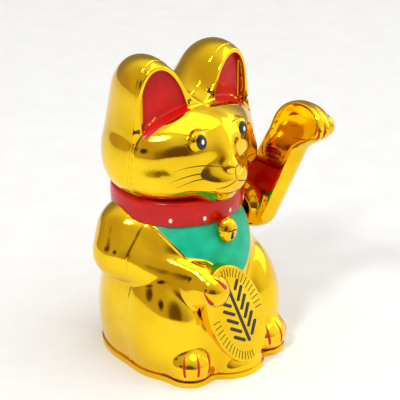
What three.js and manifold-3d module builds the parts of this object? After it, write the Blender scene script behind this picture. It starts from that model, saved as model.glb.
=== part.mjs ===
// Beckoning cat figurine: a hollow, gold-plated plastic cat in two moulded shells, with one raised arm that
// swings on a steel axle. A pendulum with a magnet hangs from the axle over a drive coil, fed by one AA cell.
// Millimetres, +Z up. The cat looks along -Y, its raised left arm is at +X, and the origin is on the table
// plane under the middle of the neck.
import * as THREE from "three";
import { ParametricGeometry } from "three/addons/geometries/ParametricGeometry.js";
import { mergeVertices } from "three/addons/utils/BufferGeometryUtils.js";
import Module from "manifold-3d";

const wasm = await Module();
wasm.setup();

// ---------------------------------------------------------------- driving dimensions
const GAP = 0.3; // clearance between faces that meet
const WALL = 1.8; // wall of the moulded shells and of the arm
const SEAM_Y = -8.5; // fore-and-aft place of the parting line between the shells

const BODY_HALF_WIDTH = 36;
const COLLAR_Z = 66; // lower edge of the collar
const COLLAR_HEIGHT = 12;
const COLLAR_RADIUS = 29.2;
const HEAD_HALF_WIDTH = 34.8;
const EAR_HEIGHT = 27.5; // from the ear's own middle to its tip

const BASE_THICK = 2.4;
const BASE_FLANGE = 0.7; // how far the base plate stands out past the shells

const SEAT_RADIUS = 12;
const BOSS_RADIUS = 4.5; // the arm's boss, which passes through the shells
const AXLE_RADIUS = 1.25;

const CELL_DIAMETER = 14.5; // one AA cell
const CELL_LENGTH = 50.5;
const CELL_Y = -12;
const BAY_CLEARANCE = 0.5; // round the cell
const BAY_WALL = 1.4;
const SPRING_LENGTH = 5.5; // the negative contact's coil, compressed on the cell
const CONTACT_THICK = 0.4;

const MAGNET_RADIUS = 4.6;
const MAGNET_HEIGHT = 3;
const COIL_RADIUS = 6;
const COIL_HEIGHT = 5;
const COIL_GAP = 1.5; // from the coil up to the magnet
const BOARD_THICK = 1.2;
const CHEEK = 1.6; // the two plates that carry the axle
const CHEEK_SPACE = 14; // between them
const CHEEK_CLEAR = 1.5; // from the outer plate to the seat's wall

const SCREW_RADIUS = 1.3;
const SCREW_HEAD_RADIUS = 2.6;
const SCREW_HEAD = 1.3;

const PLASTIC_DENSITY = 1.1e-3; // g/mm3
const STEEL_DENSITY = 7.85e-3;

// ---------------------------------------------------------------- derived places
const HEAD_Z = COLLAR_Z + 33; // middle of the skull
const PIVOT_Z = COLLAR_Z - 8; // the axle that the raised arm swings on
const SWING_FACE_X = BODY_HALF_WIDTH - 8.5; // flat seat in the left shoulder that the arm runs against
const SHELL_BOTTOM = BASE_THICK + GAP;
const CELL_RADIUS = CELL_DIAMETER / 2;
const CELL_Z = BASE_THICK + GAP + BAY_CLEARANCE + CELL_RADIUS;
const BAY_HALF_WIDTH = CELL_RADIUS + BAY_CLEARANCE;
const BAY_LENGTH = CELL_LENGTH + SPRING_LENGTH + 2 * CONTACT_THICK + 4 * GAP;
const BAY_TOP = CELL_Z + BAY_HALF_WIDTH + BAY_WALL;
const BOARD_Z = BAY_TOP + GAP;
const COIL_Z = BOARD_Z + BOARD_THICK + GAP;
const LEVER_X = SWING_FACE_X - WALL - CHEEK_CLEAR - CHEEK - CHEEK_SPACE / 2;
const MAGNET_Z = COIL_Z + COIL_HEIGHT + COIL_GAP;

// ---------------------------------------------------------------- materials
const plating = new THREE.MeshStandardMaterial({ color: 0xf2c200, roughness: 0.08, metalness: 1 });
const blackPlastic = new THREE.MeshStandardMaterial({ color: 0x1c1c1e, roughness: 0.5, metalness: 0 });
const whitePlastic = new THREE.MeshStandardMaterial({ color: 0xe9e7e0, roughness: 0.45, metalness: 0 });
const steel = new THREE.MeshStandardMaterial({ color: 0xb9bcc0, roughness: 0.3, metalness: 1 });
const copper = new THREE.MeshStandardMaterial({ color: 0xb5622c, roughness: 0.35, metalness: 1 });
const ferrite = new THREE.MeshStandardMaterial({ color: 0x3a3b3e, roughness: 0.6, metalness: 0.2 });
const board = new THREE.MeshStandardMaterial({ color: 0x2f6b3c, roughness: 0.5, metalness: 0 });
const cellSleeve = new THREE.MeshStandardMaterial({ color: 0x23408a, roughness: 0.35, metalness: 0 });
const redSleeve = new THREE.MeshStandardMaterial({ color: 0xb3191b, roughness: 0.5, metalness: 0 });
const blackSleeve = new THREE.MeshStandardMaterial({ color: 0x161616, roughness: 0.5, metalness: 0 });

// ---------------------------------------------------------------- solids
const figurine = new THREE.Group();

// A closed geometry as a solid that can be cut and joined.
function solid(geometry) {
  const bare = geometry.index ? geometry.toNonIndexed() : geometry.clone();
  bare.deleteAttribute("normal");
  bare.deleteAttribute("uv");
  const merged = mergeVertices(bare, 1e-4);
  const corners = merged.index.array;
  const triangles = [];
  for (let i = 0; i < corners.length; i += 3) {
    const [a, b, c] = corners.slice(i, i + 3);
    if (a !== b && b !== c && c !== a) triangles.push(a, b, c);
  }
  return new wasm.Manifold(
    new wasm.Mesh({
      numProp: 3,
      vertProperties: merged.attributes.position.array,
      triVerts: new Uint32Array(triangles),
    }),
  );
}

function place(name, shape, material) {
  const data = shape.getMesh();
  const geometry = new THREE.BufferGeometry();
  geometry.setAttribute("position", new THREE.BufferAttribute(data.vertProperties, 3));
  geometry.setIndex(new THREE.BufferAttribute(data.triVerts, 1));
  geometry.computeVertexNormals();
  const mesh = new THREE.Mesh(geometry, material);
  mesh.name = name;
  figurine.add(mesh);
}

const box = (x0, x1, y0, y1, z0, z1) =>
  solid(
    new THREE.BoxGeometry(x1 - x0, y1 - y0, z1 - z0).translate((x0 + x1) / 2, (y0 + y1) / 2, (z0 + z1) / 2),
  );

// Upright round bar from z0 to z1.
const post = (x, y, z0, z1, radius, sides = 20) =>
  solid(
    new THREE.CylinderGeometry(radius, radius, z1 - z0, sides)
      .rotateX(Math.PI / 2)
      .translate(x, y, (z0 + z1) / 2),
  );

// Round bar across the cat, from x0 to x1.
const crossbar = (x0, x1, y, z, radius, sides = 24) =>
  solid(
    new THREE.CylinderGeometry(radius, radius, x1 - x0, sides)
      .rotateZ(-Math.PI / 2)
      .translate((x0 + x1) / 2, y, z),
  );

// A flat plate that stands across X: its outline is drawn in (y, z) and it runs from x0 to x1.
function standingPlate(outline, x0, x1, curveSegments = 8) {
  const plate = new THREE.ExtrudeGeometry(outline, { depth: x1 - x0, bevelEnabled: false, curveSegments });
  const acrossX = new THREE.Matrix4().makeBasis(
    new THREE.Vector3(0, 1, 0),
    new THREE.Vector3(0, 0, 1),
    new THREE.Vector3(1, 0, 0),
  );
  return solid(plate.applyMatrix4(acrossX).translate(x0, 0, 0));
}

const join = (...shapes) => shapes.reduce((whole, next) => whole.add(next));

// ---------------------------------------------------------------- the modelled form
// The cat is a set of rounded masses that melt into each other. Each mass is a function that gives a point's
// distance outside its surface, and negative values lie inside.
const ellipsoid =
  ([cx, cy, cz], [rx, ry, rz]) =>
  ({ x, y, z }) => {
    const [px, py, pz] = [x - cx, y - cy, z - cz];
    const near = Math.hypot(px / rx, py / ry, pz / rz);
    const steep = Math.hypot(px / (rx * rx), py / (ry * ry), pz / (rz * rz));
    return near === 0 ? -Math.min(rx, ry, rz) : (near * (near - 1)) / steep;
  };

// A round limb that tapers from one end to the other.
const limb = (from, to, startRadius, endRadius) => {
  const start = new THREE.Vector3(...from);
  const run = new THREE.Vector3(...to).sub(start);
  return (p) => {
    const [x, y, z] = [p.x - start.x, p.y - start.y, p.z - start.z];
    const share = THREE.MathUtils.clamp((x * run.x + y * run.y + z * run.z) / run.lengthSq(), 0, 1);
    const off = Math.hypot(x - run.x * share, y - run.y * share, z - run.z * share);
    return off - THREE.MathUtils.lerp(startRadius, endRadius, share);
  };
};

const bothSides = (mass) => (p) => mass({ x: Math.abs(p.x), y: p.y, z: p.z });

function meltTwo(a, b, softness) {
  const near = Math.max(softness - Math.abs(a - b), 0) / softness;
  return Math.min(a, b) - (near * near * softness) / 4;
}

const melt =
  (softness, ...masses) =>
  (p) =>
    masses.map((mass) => mass(p)).reduce((a, b) => meltTwo(a, b, softness));

const trimTo = (mass, region) => (p) => Math.max(mass(p), region(p));

// Keeps only what lies on the inner side of a plane.
const trim = (softness, mass, normal, offset) => {
  const n = new THREE.Vector3(...normal).normalize();
  return (p) => -meltTwo(-mass(p), -(n.x * p.x + n.y * p.y + n.z * p.z - offset), softness);
};

// A closed skin round a spine: rays leave the spine, and each stops where it meets the form. The first and
// last shares of the rows turn over the spine's ends. The inset moves the skin in by a wall's thickness.
function skin(form, spine, { slices, stacks, caps, inset = 0, reach = 90 }) {
  const [low, high] = caps;
  return new ParametricGeometry(
    (u, v, target) => {
      const along = THREE.MathUtils.clamp((v - low) / (1 - low - high), 0, 1);
      const tilt = v < low ? v / low - 1 : v > 1 - high ? (v - 1 + high) / high : 0;
      const origin = spine.getPoint(along);
      const up = spine.getTangent(along);
      const side = new THREE.Vector3(0, 1, 0).cross(up).normalize();
      const front = new THREE.Vector3().crossVectors(up, side);
      const turn = u === 1 ? 0 : 2 * Math.PI * u;
      const lift = (tilt * Math.PI) / 2;
      const across = Math.abs(tilt) === 1 ? 0 : Math.cos(lift);
      const ray = side
        .multiplyScalar(Math.cos(turn) * across)
        .addScaledVector(front, Math.sin(turn) * across)
        .addScaledVector(up, Math.sin(lift));
      let distance = reach;
      for (let step = 0; step < 80; step++) {
        const clear = form(target.copy(origin).addScaledVector(ray, distance)) + inset;
        distance -= 0.85 * clear;
        if (Math.abs(clear) < 1e-3) break;
      }
      target.copy(origin).addScaledVector(ray, distance);
    },
    slices,
    stacks,
  );
}

// ---------------------------------------------------------------- the cat's masses
const shoulders = ellipsoid([-1, 2, COLLAR_Z - 12], [BODY_HALF_WIDTH - 5, 29.5, 23]);
const torso = melt(
  8,
  ellipsoid([-0.5, 0.5, 18], [BODY_HALF_WIDTH, 34.5, COLLAR_Z - 18]),
  shoulders,
  ellipsoid([0, -10, COLLAR_Z - 23], [BODY_HALF_WIDTH - 10, 24, 28]),
);
const haunches = bothSides(
  melt(
    2.5,
    ellipsoid([BODY_HALF_WIDTH - 16.2, -13.5, 19], [17.8, 24, 32]),
    ellipsoid([21, -30.8, 7.5], [11, 12.3, 9.5]),
  ),
);
const rightArm = melt(
  3,
  melt(9, limb([-25, 6, COLLAR_Z - 8], [-29.5, 4, COLLAR_Z - 16], 12, 12), shoulders),
  limb([-27.5, 1, COLLAR_Z - 13.5], [-14, -30, COLLAR_Z - 20.5], 10, 7.5),
  limb([-28.5, 1, COLLAR_Z - 17.5], [-16, -30.5, COLLAR_Z - 27], 11, 7.5),
  ellipsoid([-12.6, -36, COLLAR_Z - 24.5], [8, 9, 8.5]),
);
const head = melt(
  6,
  ellipsoid([0, -2, HEAD_Z], [HEAD_HALF_WIDTH - 1.8, 27.5, 18.5]),
  ellipsoid([0, -2.5, HEAD_Z - 10.5], [HEAD_HALF_WIDTH, 28.5, 16]),
  ellipsoid([0, -15, HEAD_Z + 1], [21, 16, 15]),
  ellipsoid([0, 2.5, HEAD_Z - 3.5], [HEAD_HALF_WIDTH - 1.8, 24.5, 19.5]),
);
const muzzle = melt(
  3,
  ellipsoid([0, -28, HEAD_Z - 11], [12, 10, 8.5]),
  limb([0, -24, HEAD_Z + 8], [0, -32.5, HEAD_Z - 4], 4, 3.2),
  ellipsoid([0, -26, HEAD_Z - 18], [8.5, 7.5, 5]),
);
const face = melt(2, muzzle, ellipsoid([0, -34.6, HEAD_Z - 4.8], [3.2, 2.2, 2]));
const trunk = melt(5, torso, head);
// The belly swells forward behind the plaque and under its foot.
const lap = melt(
  2,
  ellipsoid([-5.5, -33, 13], [16, 10.5, 24]),
  ellipsoid([0.5, -38.5, 3], [13, 8.9, 8]),
);
const belly = melt(4, melt(5, trunk, face), lap);
const figure = melt(1.2, melt(2.5, belly, haunches), rightArm);

// The ear is an egg that leans outwards. Its front is cut flat and faces a little to its own side.
const EAR = { x: 16.5, y: -3, z: HEAD_Z + 39.5 - EAR_HEIGHT, halfWidth: 13.8, halfDepth: 23, faceY: -13 };
const EAR_LEAN = 3.2; // how far out the tip stands from straight above the middle
const EAR_RIM = 1.7;
const EAR_RECESS = 2.2;
const FACE_TURN = THREE.MathUtils.degToRad(12);
const earEgg = (inset) => {
  const radii = [EAR.halfWidth, EAR.halfDepth, EAR_HEIGHT].map((r) => r - inset);
  const upright = ellipsoid([EAR.x, EAR.y, EAR.z], radii);
  return ({ x, y, z }) => upright({ x: x - (EAR_LEAN * (z - EAR.z)) / EAR_HEIGHT, y, z });
};
const earReach = ellipsoid([EAR.x, EAR.y, EAR.z], [EAR.halfWidth + 8, EAR.halfDepth + 8, EAR_HEIGHT + 8]);
const sunkHead = (p) => head(p) + 1.3;
const blendedEar = trimTo(melt(12, earEgg(0), sunkHead), earReach);

// The raised arm: shoulder, elbow, forearm and paw, with a flat side towards the head.
const PAW = { x: SWING_FACE_X + 17.7, y: -31, z: HEAD_Z + 1.8 };
const armMasses = melt(
  5,
  limb([SWING_FACE_X + 8, -13.5, PIVOT_Z - 1], [SWING_FACE_X + 17.5, -27, PIVOT_Z + 37], 8, 6.8),
  limb([SWING_FACE_X + 8, -7.5, PIVOT_Z + 1], [SWING_FACE_X + 17, -20.5, PIVOT_Z + 37.5], 8, 6.8),
  ellipsoid([SWING_FACE_X + 17.3, -25, HEAD_Z - 1], [7.5, 9, 8.5]),
  ellipsoid([PAW.x, PAW.y, PAW.z], [9, 12, 8.8]),
);
const INNER_LEAN = 0.24; // the arm's flat side leans away from the head
const arm = trim(1.2, armMasses, [-1, 0, INNER_LEAN], INNER_LEAN * PIVOT_Z - SWING_FACE_X - 3.5);

// ---------------------------------------------------------------- shells
const bodySpine = new THREE.LineCurve3(new THREE.Vector3(0, -4, 6), new THREE.Vector3(0, -4, HEAD_Z - 1));
const bodyRows = { slices: 48, stacks: 32, caps: [0.06, 0.22] };
const innerRows = { slices: 30, stacks: 22, caps: [0.06, 0.22] };

const earSpine = new THREE.LineCurve3(
  new THREE.Vector3(EAR.x - 1, EAR.y, EAR.z - 8),
  new THREE.Vector3(EAR.x + 1.5, EAR.y, EAR.z + 12),
);
const earSkin = (form, slices, stacks) =>
  solid(skin(form, earSpine, { slices, stacks, caps: [0.25, 0.3], reach: 45 }));
// Everything in front of the left ear's face, sunk by a depth.
const beforeFace = (depth) =>
  solid(
    new THREE.BoxGeometry(80, 80, 100)
      .translate(0, -40, 0)
      .rotateZ(FACE_TURN)
      .translate(EAR.x, EAR.faceY + depth, EAR.z),
  );
const pair = (left) => join(left, left.mirror([1, 0, 0]));
const earRecess = earSkin(earEgg(EAR_RIM), 18, 10).intersect(beforeFace(EAR_RECESS));
const ears = pair(earSkin(blendedEar, 20, 13).subtract(beforeFace(0)).subtract(earRecess));
const earHollows = pair(earSkin(earEgg(WALL), 12, 8).subtract(beforeFace(EAR_RECESS + WALL)));

const outerSkin = solid(skin(figure, bodySpine, bodyRows));
const innerSkin = solid(skin(figure, bodySpine, { ...innerRows, inset: WALL }));

const COLLAR_Y = 1;
const collar = solid(
  new THREE.LatheGeometry(
    [
      [COLLAR_RADIUS - 10, 0],
      [COLLAR_RADIUS - 0.8, 0],
      [COLLAR_RADIUS, 1],
      [COLLAR_RADIUS, COLLAR_HEIGHT - 1],
      [COLLAR_RADIUS - 0.8, COLLAR_HEIGHT],
      [COLLAR_RADIUS - 10, COLLAR_HEIGHT],
      [COLLAR_RADIUS - 10, 0],
    ].map(([r, h]) => new THREE.Vector2(r, h)),
    36,
  )
    .rotateX(Math.PI / 2)
    .translate(0, COLLAR_Y, COLLAR_Z),
);

// The bib is a painted panel that stands a little proud of the chest, under the collar.
const BIB = { halfWidth: 25, drop: 26.5, proud: 0.7, curve: 2.1 };
const bibOutline = new THREE.Shape();
const bibCorners = 20;
for (let i = 0; i <= bibCorners; i++) {
  const share = (2 * i) / bibCorners - 1;
  const z = COLLAR_Z - BIB.drop * (1 - Math.abs(share) ** BIB.curve);
  if (i === 0) bibOutline.moveTo(share * BIB.halfWidth, z);
  else bibOutline.lineTo(share * BIB.halfWidth, z);
}
bibOutline.lineTo(BIB.halfWidth, COLLAR_Z + 1);
bibOutline.lineTo(-BIB.halfWidth, COLLAR_Z + 1);
const bibReach = solid(
  new THREE.ExtrudeGeometry(bibOutline, { depth: 50, bevelEnabled: false })
    .rotateX(Math.PI / 2)
    .translate(0, -5, 0),
);
const bibRows = { slices: 48, stacks: 26, caps: [0.06, 0.22], inset: -BIB.proud };
const bib = solid(skin(trunk, bodySpine, bibRows)).intersect(bibReach);

// The eyes are low oval domes on the face.
const EYE = { x: 11, y: -25.6, z: HEAD_Z + 6.2, radii: [4.8, 3.2, 5.4] };
const leftEye = solid(new THREE.SphereGeometry(1, 14, 10).scale(...EYE.radii).translate(EYE.x, EYE.y, EYE.z));
const eyes = pair(leftEye);

const bell = solid(
  new THREE.SphereGeometry(1, 16, 11).scale(4.6, 4.2, 6.1).translate(0, -31.8, COLLAR_Z - 2.1),
);

// The oval plaque leans back on the belly.
const PLAQUE = { halfWidth: 14.2, halfHeight: 24.4, thick: 6, x: -3.3, y: -40.2, z: 28.5 };
const PLAQUE_LEAN = 0.16; // backwards
const PLAQUE_ROLL = 0.318; // its top towards the right paw
const plaqueOutline = new THREE.Shape().absellipse(0, 0, PLAQUE.halfWidth, PLAQUE.halfHeight, 0, 2 * Math.PI);
const plaque = solid(
  new THREE.ExtrudeGeometry(plaqueOutline, {
    depth: PLAQUE.thick,
    bevelThickness: 0.8,
    bevelSize: 0.8,
    bevelOffset: -0.8,
    bevelSegments: 1,
    curveSegments: 18,
  })
    .rotateX(Math.PI / 2)
    .translate(0, PLAQUE.thick / 2, 0)
    .rotateY(-PLAQUE_ROLL)
    .rotateX(-PLAQUE_LEAN)
    .translate(PLAQUE.x, PLAQUE.y, PLAQUE.z),
);

// Everything above the base plate, and the two halves in front of and behind the parting line.
const SPAN = 200;
const aboveBase = box(-SPAN, SPAN, -SPAN, SPAN, SHELL_BOTTOM, SPAN);
const frontHalf = box(-SPAN, SPAN, -SPAN, SEAM_Y - GAP / 2, -SPAN, SPAN);
const rearHalf = box(-SPAN, SPAN, SEAM_Y + GAP / 2, SPAN, -SPAN, SPAN);

// The arm's seat: a flat pocket in the left shoulder, with a hole for the arm's boss.
const seatPocket = crossbar(SWING_FACE_X, SWING_FACE_X + 20, SEAM_Y, PIVOT_Z, SEAT_RADIUS, 28);
const seatWall = crossbar(SWING_FACE_X - WALL, SWING_FACE_X + 20, SEAM_Y, PIVOT_Z, SEAT_RADIUS + WALL, 20);
const bossHole = crossbar(SWING_FACE_X - 5, SWING_FACE_X + 5, SEAM_Y, PIVOT_Z, BOSS_RADIUS + 0.5);

const outside = join(outerSkin, ears, eyes, collar, bib, bell, plaque).subtract(seatPocket);
const inside = join(innerSkin, earHollows).subtract(seatWall);

// Screw bosses, each tied to the wall by a rib.
const SCREW_BOSSES = [
  [-17, 14],
  [17, 14],
  [-25, -31],
  [25, -31],
];
const BOSS_TOP = 14;
const bossWall = 1.6;
const screwHole = SCREW_RADIUS + GAP;
function screwBoss([x, y]) {
  const outward = Math.atan2(y + 4, x);
  const rib = new THREE.BoxGeometry(12, bossWall, BOSS_TOP - SHELL_BOTTOM)
    .translate(6, 0, (BOSS_TOP + SHELL_BOTTOM) / 2)
    .rotateZ(outward)
    .translate(x, y, 0);
  return join(post(x, y, SHELL_BOTTOM, BOSS_TOP, screwHole + bossWall), solid(rib));
}
const bosses = join(...SCREW_BOSSES.map(screwBoss)).intersect(outside);
const bossBores = join(...SCREW_BOSSES.map(([x, y]) => post(x, y, 0, BOSS_TOP - 2, screwHole, 12)));

const BAY_END = BAY_LENGTH / 2 + BAY_WALL;
const BAY_SIDE = BAY_HALF_WIDTH + BAY_WALL;
const bayRelief = box(
  -BAY_END - GAP,
  BAY_END + GAP,
  CELL_Y - BAY_SIDE - GAP,
  CELL_Y + BAY_SIDE + GAP,
  0,
  BAY_TOP + GAP,
);
const shells = outside
  .subtract(inside)
  .subtract(bayRelief)
  .subtract(bossHole)
  .add(bosses)
  .subtract(bossBores)
  .intersect(aboveBase);
place("front_shell", shells.intersect(frontHalf), plating);
place("rear_shell", shells.intersect(rearHalf), plating);

// ---------------------------------------------------------------- base plate and battery door
function baseOutline(margin) {
  const outline = new THREE.Shape();
  const corners = 96;
  for (let i = 0; i < corners; i++) {
    const turn = (2 * Math.PI * i) / corners;
    const ray = new THREE.Vector3(Math.cos(turn), Math.sin(turn), 0);
    let distance = 60;
    for (let step = 0; step < 60; step++) {
      distance -= 0.85 * (figure(new THREE.Vector3(0, -8, SHELL_BOTTOM).addScaledVector(ray, distance)) - margin);
    }
    const [x, y] = [ray.x * distance, ray.y * distance - 8];
    if (i === 0) outline.moveTo(x, y);
    else outline.lineTo(x, y);
  }
  return outline;
}

const DOOR = { halfLength: 27, halfWidth: 8.2, bottom: 0.2, thick: 1.6, pinRadius: 0.6, pinLength: 1.2 };
const DOOR_PIVOT_Z = BASE_THICK / 2;
const barrelRadius = DOOR_PIVOT_Z - DOOR.bottom;
const doorHole = box(
  -DOOR.halfLength - barrelRadius - GAP,
  DOOR.halfLength + GAP,
  CELL_Y - DOOR.halfWidth - GAP,
  CELL_Y + DOOR.halfWidth + GAP,
  -1,
  BASE_THICK + 1,
);
const doorBar = (radius, halfLength) =>
  solid(
    new THREE.CylinderGeometry(radius, radius, 2 * halfLength, 16).translate(
      -DOOR.halfLength,
      CELL_Y,
      DOOR_PIVOT_Z,
    ),
  );
const screwSeat = ([x, y]) =>
  join(post(x, y, -1, SCREW_HEAD + 0.2 + GAP, SCREW_HEAD_RADIUS + GAP), post(x, y, -1, BASE_THICK + 1, screwHole, 12));

const CHASSIS_SCREWS = [
  [-20, CELL_Y + BAY_HALF_WIDTH + BAY_WALL + 3.4],
  [20, CELL_Y - BAY_HALF_WIDTH - BAY_WALL - 3.4],
];
const SWITCH = { x: -8, y: 13, halfLength: 4.5, halfWidth: 2.6, height: 4, travel: 2, slotHalf: 1.2 };
const switchSlot = box(
  SWITCH.x - SWITCH.travel - SWITCH.slotHalf,
  SWITCH.x + SWITCH.travel + SWITCH.slotHalf,
  SWITCH.y - SWITCH.slotHalf,
  SWITCH.y + SWITCH.slotHalf,
  -1,
  BASE_THICK + 1,
);
const basePlate = solid(
  new THREE.ExtrudeGeometry(baseOutline(BASE_FLANGE), { depth: BASE_THICK, bevelEnabled: false }),
)
  .subtract(doorHole)
  .subtract(doorBar(DOOR.pinRadius + 0.2, DOOR.halfWidth + DOOR.pinLength + GAP))
  .subtract(switchSlot)
  .subtract(join(...[...SCREW_BOSSES, ...CHASSIS_SCREWS].map(screwSeat)));
place("base_plate", basePlate, plating);

// The door turns on two pins at its -X end. A finger notch is at the other end.
const doorPanel = box(
  -DOOR.halfLength,
  DOOR.halfLength,
  CELL_Y - DOOR.halfWidth,
  CELL_Y + DOOR.halfWidth,
  DOOR.bottom,
  DOOR.bottom + DOOR.thick,
);
const fingerNotch = crossbar(DOOR.halfLength - 7, DOOR.halfLength - 3, CELL_Y, -1.2, 2.4, 16);
const doorRibs = join(
  ...[-14, 0, 14].map((x) =>
    box(x - 0.6, x + 0.6, CELL_Y - 6, CELL_Y + 6, DOOR.bottom + DOOR.thick - 0.1, SHELL_BOTTOM),
  ),
);
place(
  "battery_door",
  join(
    doorPanel,
    doorRibs,
    doorBar(barrelRadius, DOOR.halfWidth),
    doorBar(DOOR.pinRadius, DOOR.halfWidth + DOOR.pinLength),
  ).subtract(fingerNotch),
  blackPlastic,
);

// ---------------------------------------------------------------- chassis: battery bay and axle cheeks
const bayOuter = box(-BAY_END, BAY_END, CELL_Y - BAY_SIDE, CELL_Y + BAY_SIDE, SHELL_BOTTOM, BAY_TOP);
const bayInner = box(
  -BAY_LENGTH / 2,
  BAY_LENGTH / 2,
  CELL_Y - BAY_HALF_WIDTH,
  CELL_Y + BAY_HALF_WIDTH,
  0,
  BAY_TOP - BAY_WALL,
);
const CHEEK_FOOT = 7.5; // reach of a cheek's foot in front of the axle
function cheek(x0) {
  const halfTop = 4;
  const outline = new THREE.Shape()
    .moveTo(SEAM_Y - CHEEK_FOOT, BAY_TOP - 0.5)
    .lineTo(SEAM_Y + halfTop, BAY_TOP - 0.5)
    .lineTo(SEAM_Y + halfTop, PIVOT_Z)
    .absarc(SEAM_Y, PIVOT_Z, halfTop, 0, Math.PI, false)
    .lineTo(SEAM_Y - CHEEK_FOOT, BAY_TOP - 0.5);
  return standingPlate(outline, x0, x0 + CHEEK).subtract(
    crossbar(x0 - 1, x0 + CHEEK + 1, SEAM_Y, PIVOT_Z, AXLE_RADIUS + GAP, 16),
  );
}
const innerCheekX = LEVER_X - CHEEK_SPACE / 2 - CHEEK;
const outerCheekX = LEVER_X + CHEEK_SPACE / 2;
const chassisEar = ([x, y]) =>
  join(
    post(x, y, SHELL_BOTTOM, SHELL_BOTTOM + 7, 3.2),
    box(x - 3.2, x + 3.2, Math.min(y, CELL_Y), Math.max(y, CELL_Y), SHELL_BOTTOM, SHELL_BOTTOM + 7),
  );
// Slots in the bay's roof for the contacts' solder tabs.
const TAB_HALF_WIDTH = 1.2;
const POSITIVE_X = BAY_LENGTH / 2 - GAP - CONTACT_THICK;
const NEGATIVE_X = -BAY_LENGTH / 2 + GAP;
const tabSlot = (x0) =>
  box(
    x0 - GAP,
    x0 + CONTACT_THICK + GAP,
    CELL_Y - TAB_HALF_WIDTH - GAP,
    CELL_Y + TAB_HALF_WIDTH + GAP,
    CELL_Z,
    BAY_TOP + 1,
  );
const chassis = join(bayOuter, cheek(innerCheekX), cheek(outerCheekX), ...CHASSIS_SCREWS.map(chassisEar))
  .subtract(join(bayInner, tabSlot(POSITIVE_X), tabSlot(NEGATIVE_X)))
  .subtract(join(...CHASSIS_SCREWS.map(([x, y]) => post(x, y, 0, SHELL_BOTTOM + 5.5, screwHole, 12))));
place("movement_chassis", chassis, blackPlastic);

// ---------------------------------------------------------------- battery and contacts
const cellStart = -BAY_LENGTH / 2 + 2 * GAP + CONTACT_THICK + SPRING_LENGTH;
const NUB = { radius: 2.7, length: 1.2 };
place(
  "aa_cell",
  join(
    crossbar(cellStart, cellStart + CELL_LENGTH - NUB.length, CELL_Y, CELL_Z, CELL_RADIUS),
    crossbar(cellStart + CELL_LENGTH - NUB.length - 1, cellStart + CELL_LENGTH, CELL_Y, CELL_Z, NUB.radius, 16),
  ),
  cellSleeve,
);

function contactPlate(x0) {
  const half = BAY_HALF_WIDTH - 1.5;
  return join(
    box(x0, x0 + CONTACT_THICK, CELL_Y - half, CELL_Y + half, CELL_Z - half, CELL_Z + half),
    box(x0, x0 + CONTACT_THICK, CELL_Y - TAB_HALF_WIDTH, CELL_Y + TAB_HALF_WIDTH, CELL_Z, BAY_TOP + 1.5),
  );
}
place("positive_contact", contactPlate(POSITIVE_X), steel);

// The negative contact is a plate with a tapering coil of wire in front of it.
class ConeCoil extends THREE.Curve {
  getPoint(t, target = new THREE.Vector3()) {
    const turns = 3.5;
    const radius = THREE.MathUtils.lerp(4.6, 2.6, t);
    const angle = 2 * Math.PI * turns * t;
    const x = THREE.MathUtils.lerp(0.2, SPRING_LENGTH - 0.5, t);
    return target.set(x, radius * Math.cos(angle), radius * Math.sin(angle));
  }
}
const wireSection = (radius, sides) => {
  const section = new THREE.Shape();
  for (let i = 0; i < sides; i++) {
    const turn = (2 * Math.PI * i) / sides;
    if (i === 0) section.moveTo(radius, 0);
    else section.lineTo(radius * Math.cos(turn), radius * Math.sin(turn));
  }
  return section;
};
const coilSpring = solid(
  new THREE.ExtrudeGeometry(wireSection(0.4, 6), { steps: 42, extrudePath: new ConeCoil() }),
).translate([NEGATIVE_X + CONTACT_THICK, CELL_Y, CELL_Z]);
place("negative_spring_contact", join(contactPlate(NEGATIVE_X), coilSpring), steel);

// ---------------------------------------------------------------- drive: board, coil, leads
const BOARD_HALF = 7;
place(
  "circuit_board",
  box(
    LEVER_X - BOARD_HALF,
    LEVER_X + BOARD_HALF,
    CELL_Y - BAY_HALF_WIDTH,
    SEAM_Y + 8,
    BOARD_Z,
    BOARD_Z + BOARD_THICK,
  ),
  board,
);
const ring = (outer, inner, z0, z1) =>
  post(LEVER_X, SEAM_Y, z0, z1, outer, 24).subtract(post(LEVER_X, SEAM_Y, z0 - 1, z1 + 1, inner, 12));
const CORE_RADIUS = 1.5;
const BOBBIN_FLANGE = 0.7;
const bobbinTube = CORE_RADIUS + GAP + 0.7;
place(
  "coil_bobbin",
  join(
    ring(COIL_RADIUS, CORE_RADIUS + GAP, COIL_Z, COIL_Z + BOBBIN_FLANGE),
    ring(COIL_RADIUS, CORE_RADIUS + GAP, COIL_Z + COIL_HEIGHT - BOBBIN_FLANGE, COIL_Z + COIL_HEIGHT),
    ring(bobbinTube, CORE_RADIUS + GAP, COIL_Z, COIL_Z + COIL_HEIGHT),
  ),
  blackPlastic,
);
place(
  "coil_winding",
  ring(
    COIL_RADIUS - 0.4,
    bobbinTube + GAP,
    COIL_Z + BOBBIN_FLANGE + GAP,
    COIL_Z + COIL_HEIGHT - BOBBIN_FLANGE - GAP,
  ),
  copper,
);
place("coil_core", post(LEVER_X, SEAM_Y, COIL_Z, COIL_Z + COIL_HEIGHT - 0.5, CORE_RADIUS, 16), steel);

const partY = CELL_Y - BAY_HALF_WIDTH + 2;
place(
  "drive_transistor",
  box(LEVER_X - 4.5, LEVER_X - 1, partY - 1.3, partY + 1.3, COIL_Z, COIL_Z + 2.2),
  blackPlastic,
);
place("capacitor", post(LEVER_X + 3, partY + 0.2, COIL_Z, COIL_Z + 4.5, 1.9, 16), cellSleeve);

const LEAD_RADIUS = 0.6;
function lead(points) {
  const path = new THREE.CatmullRomCurve3(points.map((p) => new THREE.Vector3(...p)));
  return solid(new THREE.ExtrudeGeometry(wireSection(LEAD_RADIUS, 6), { steps: 16, extrudePath: path }));
}
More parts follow.
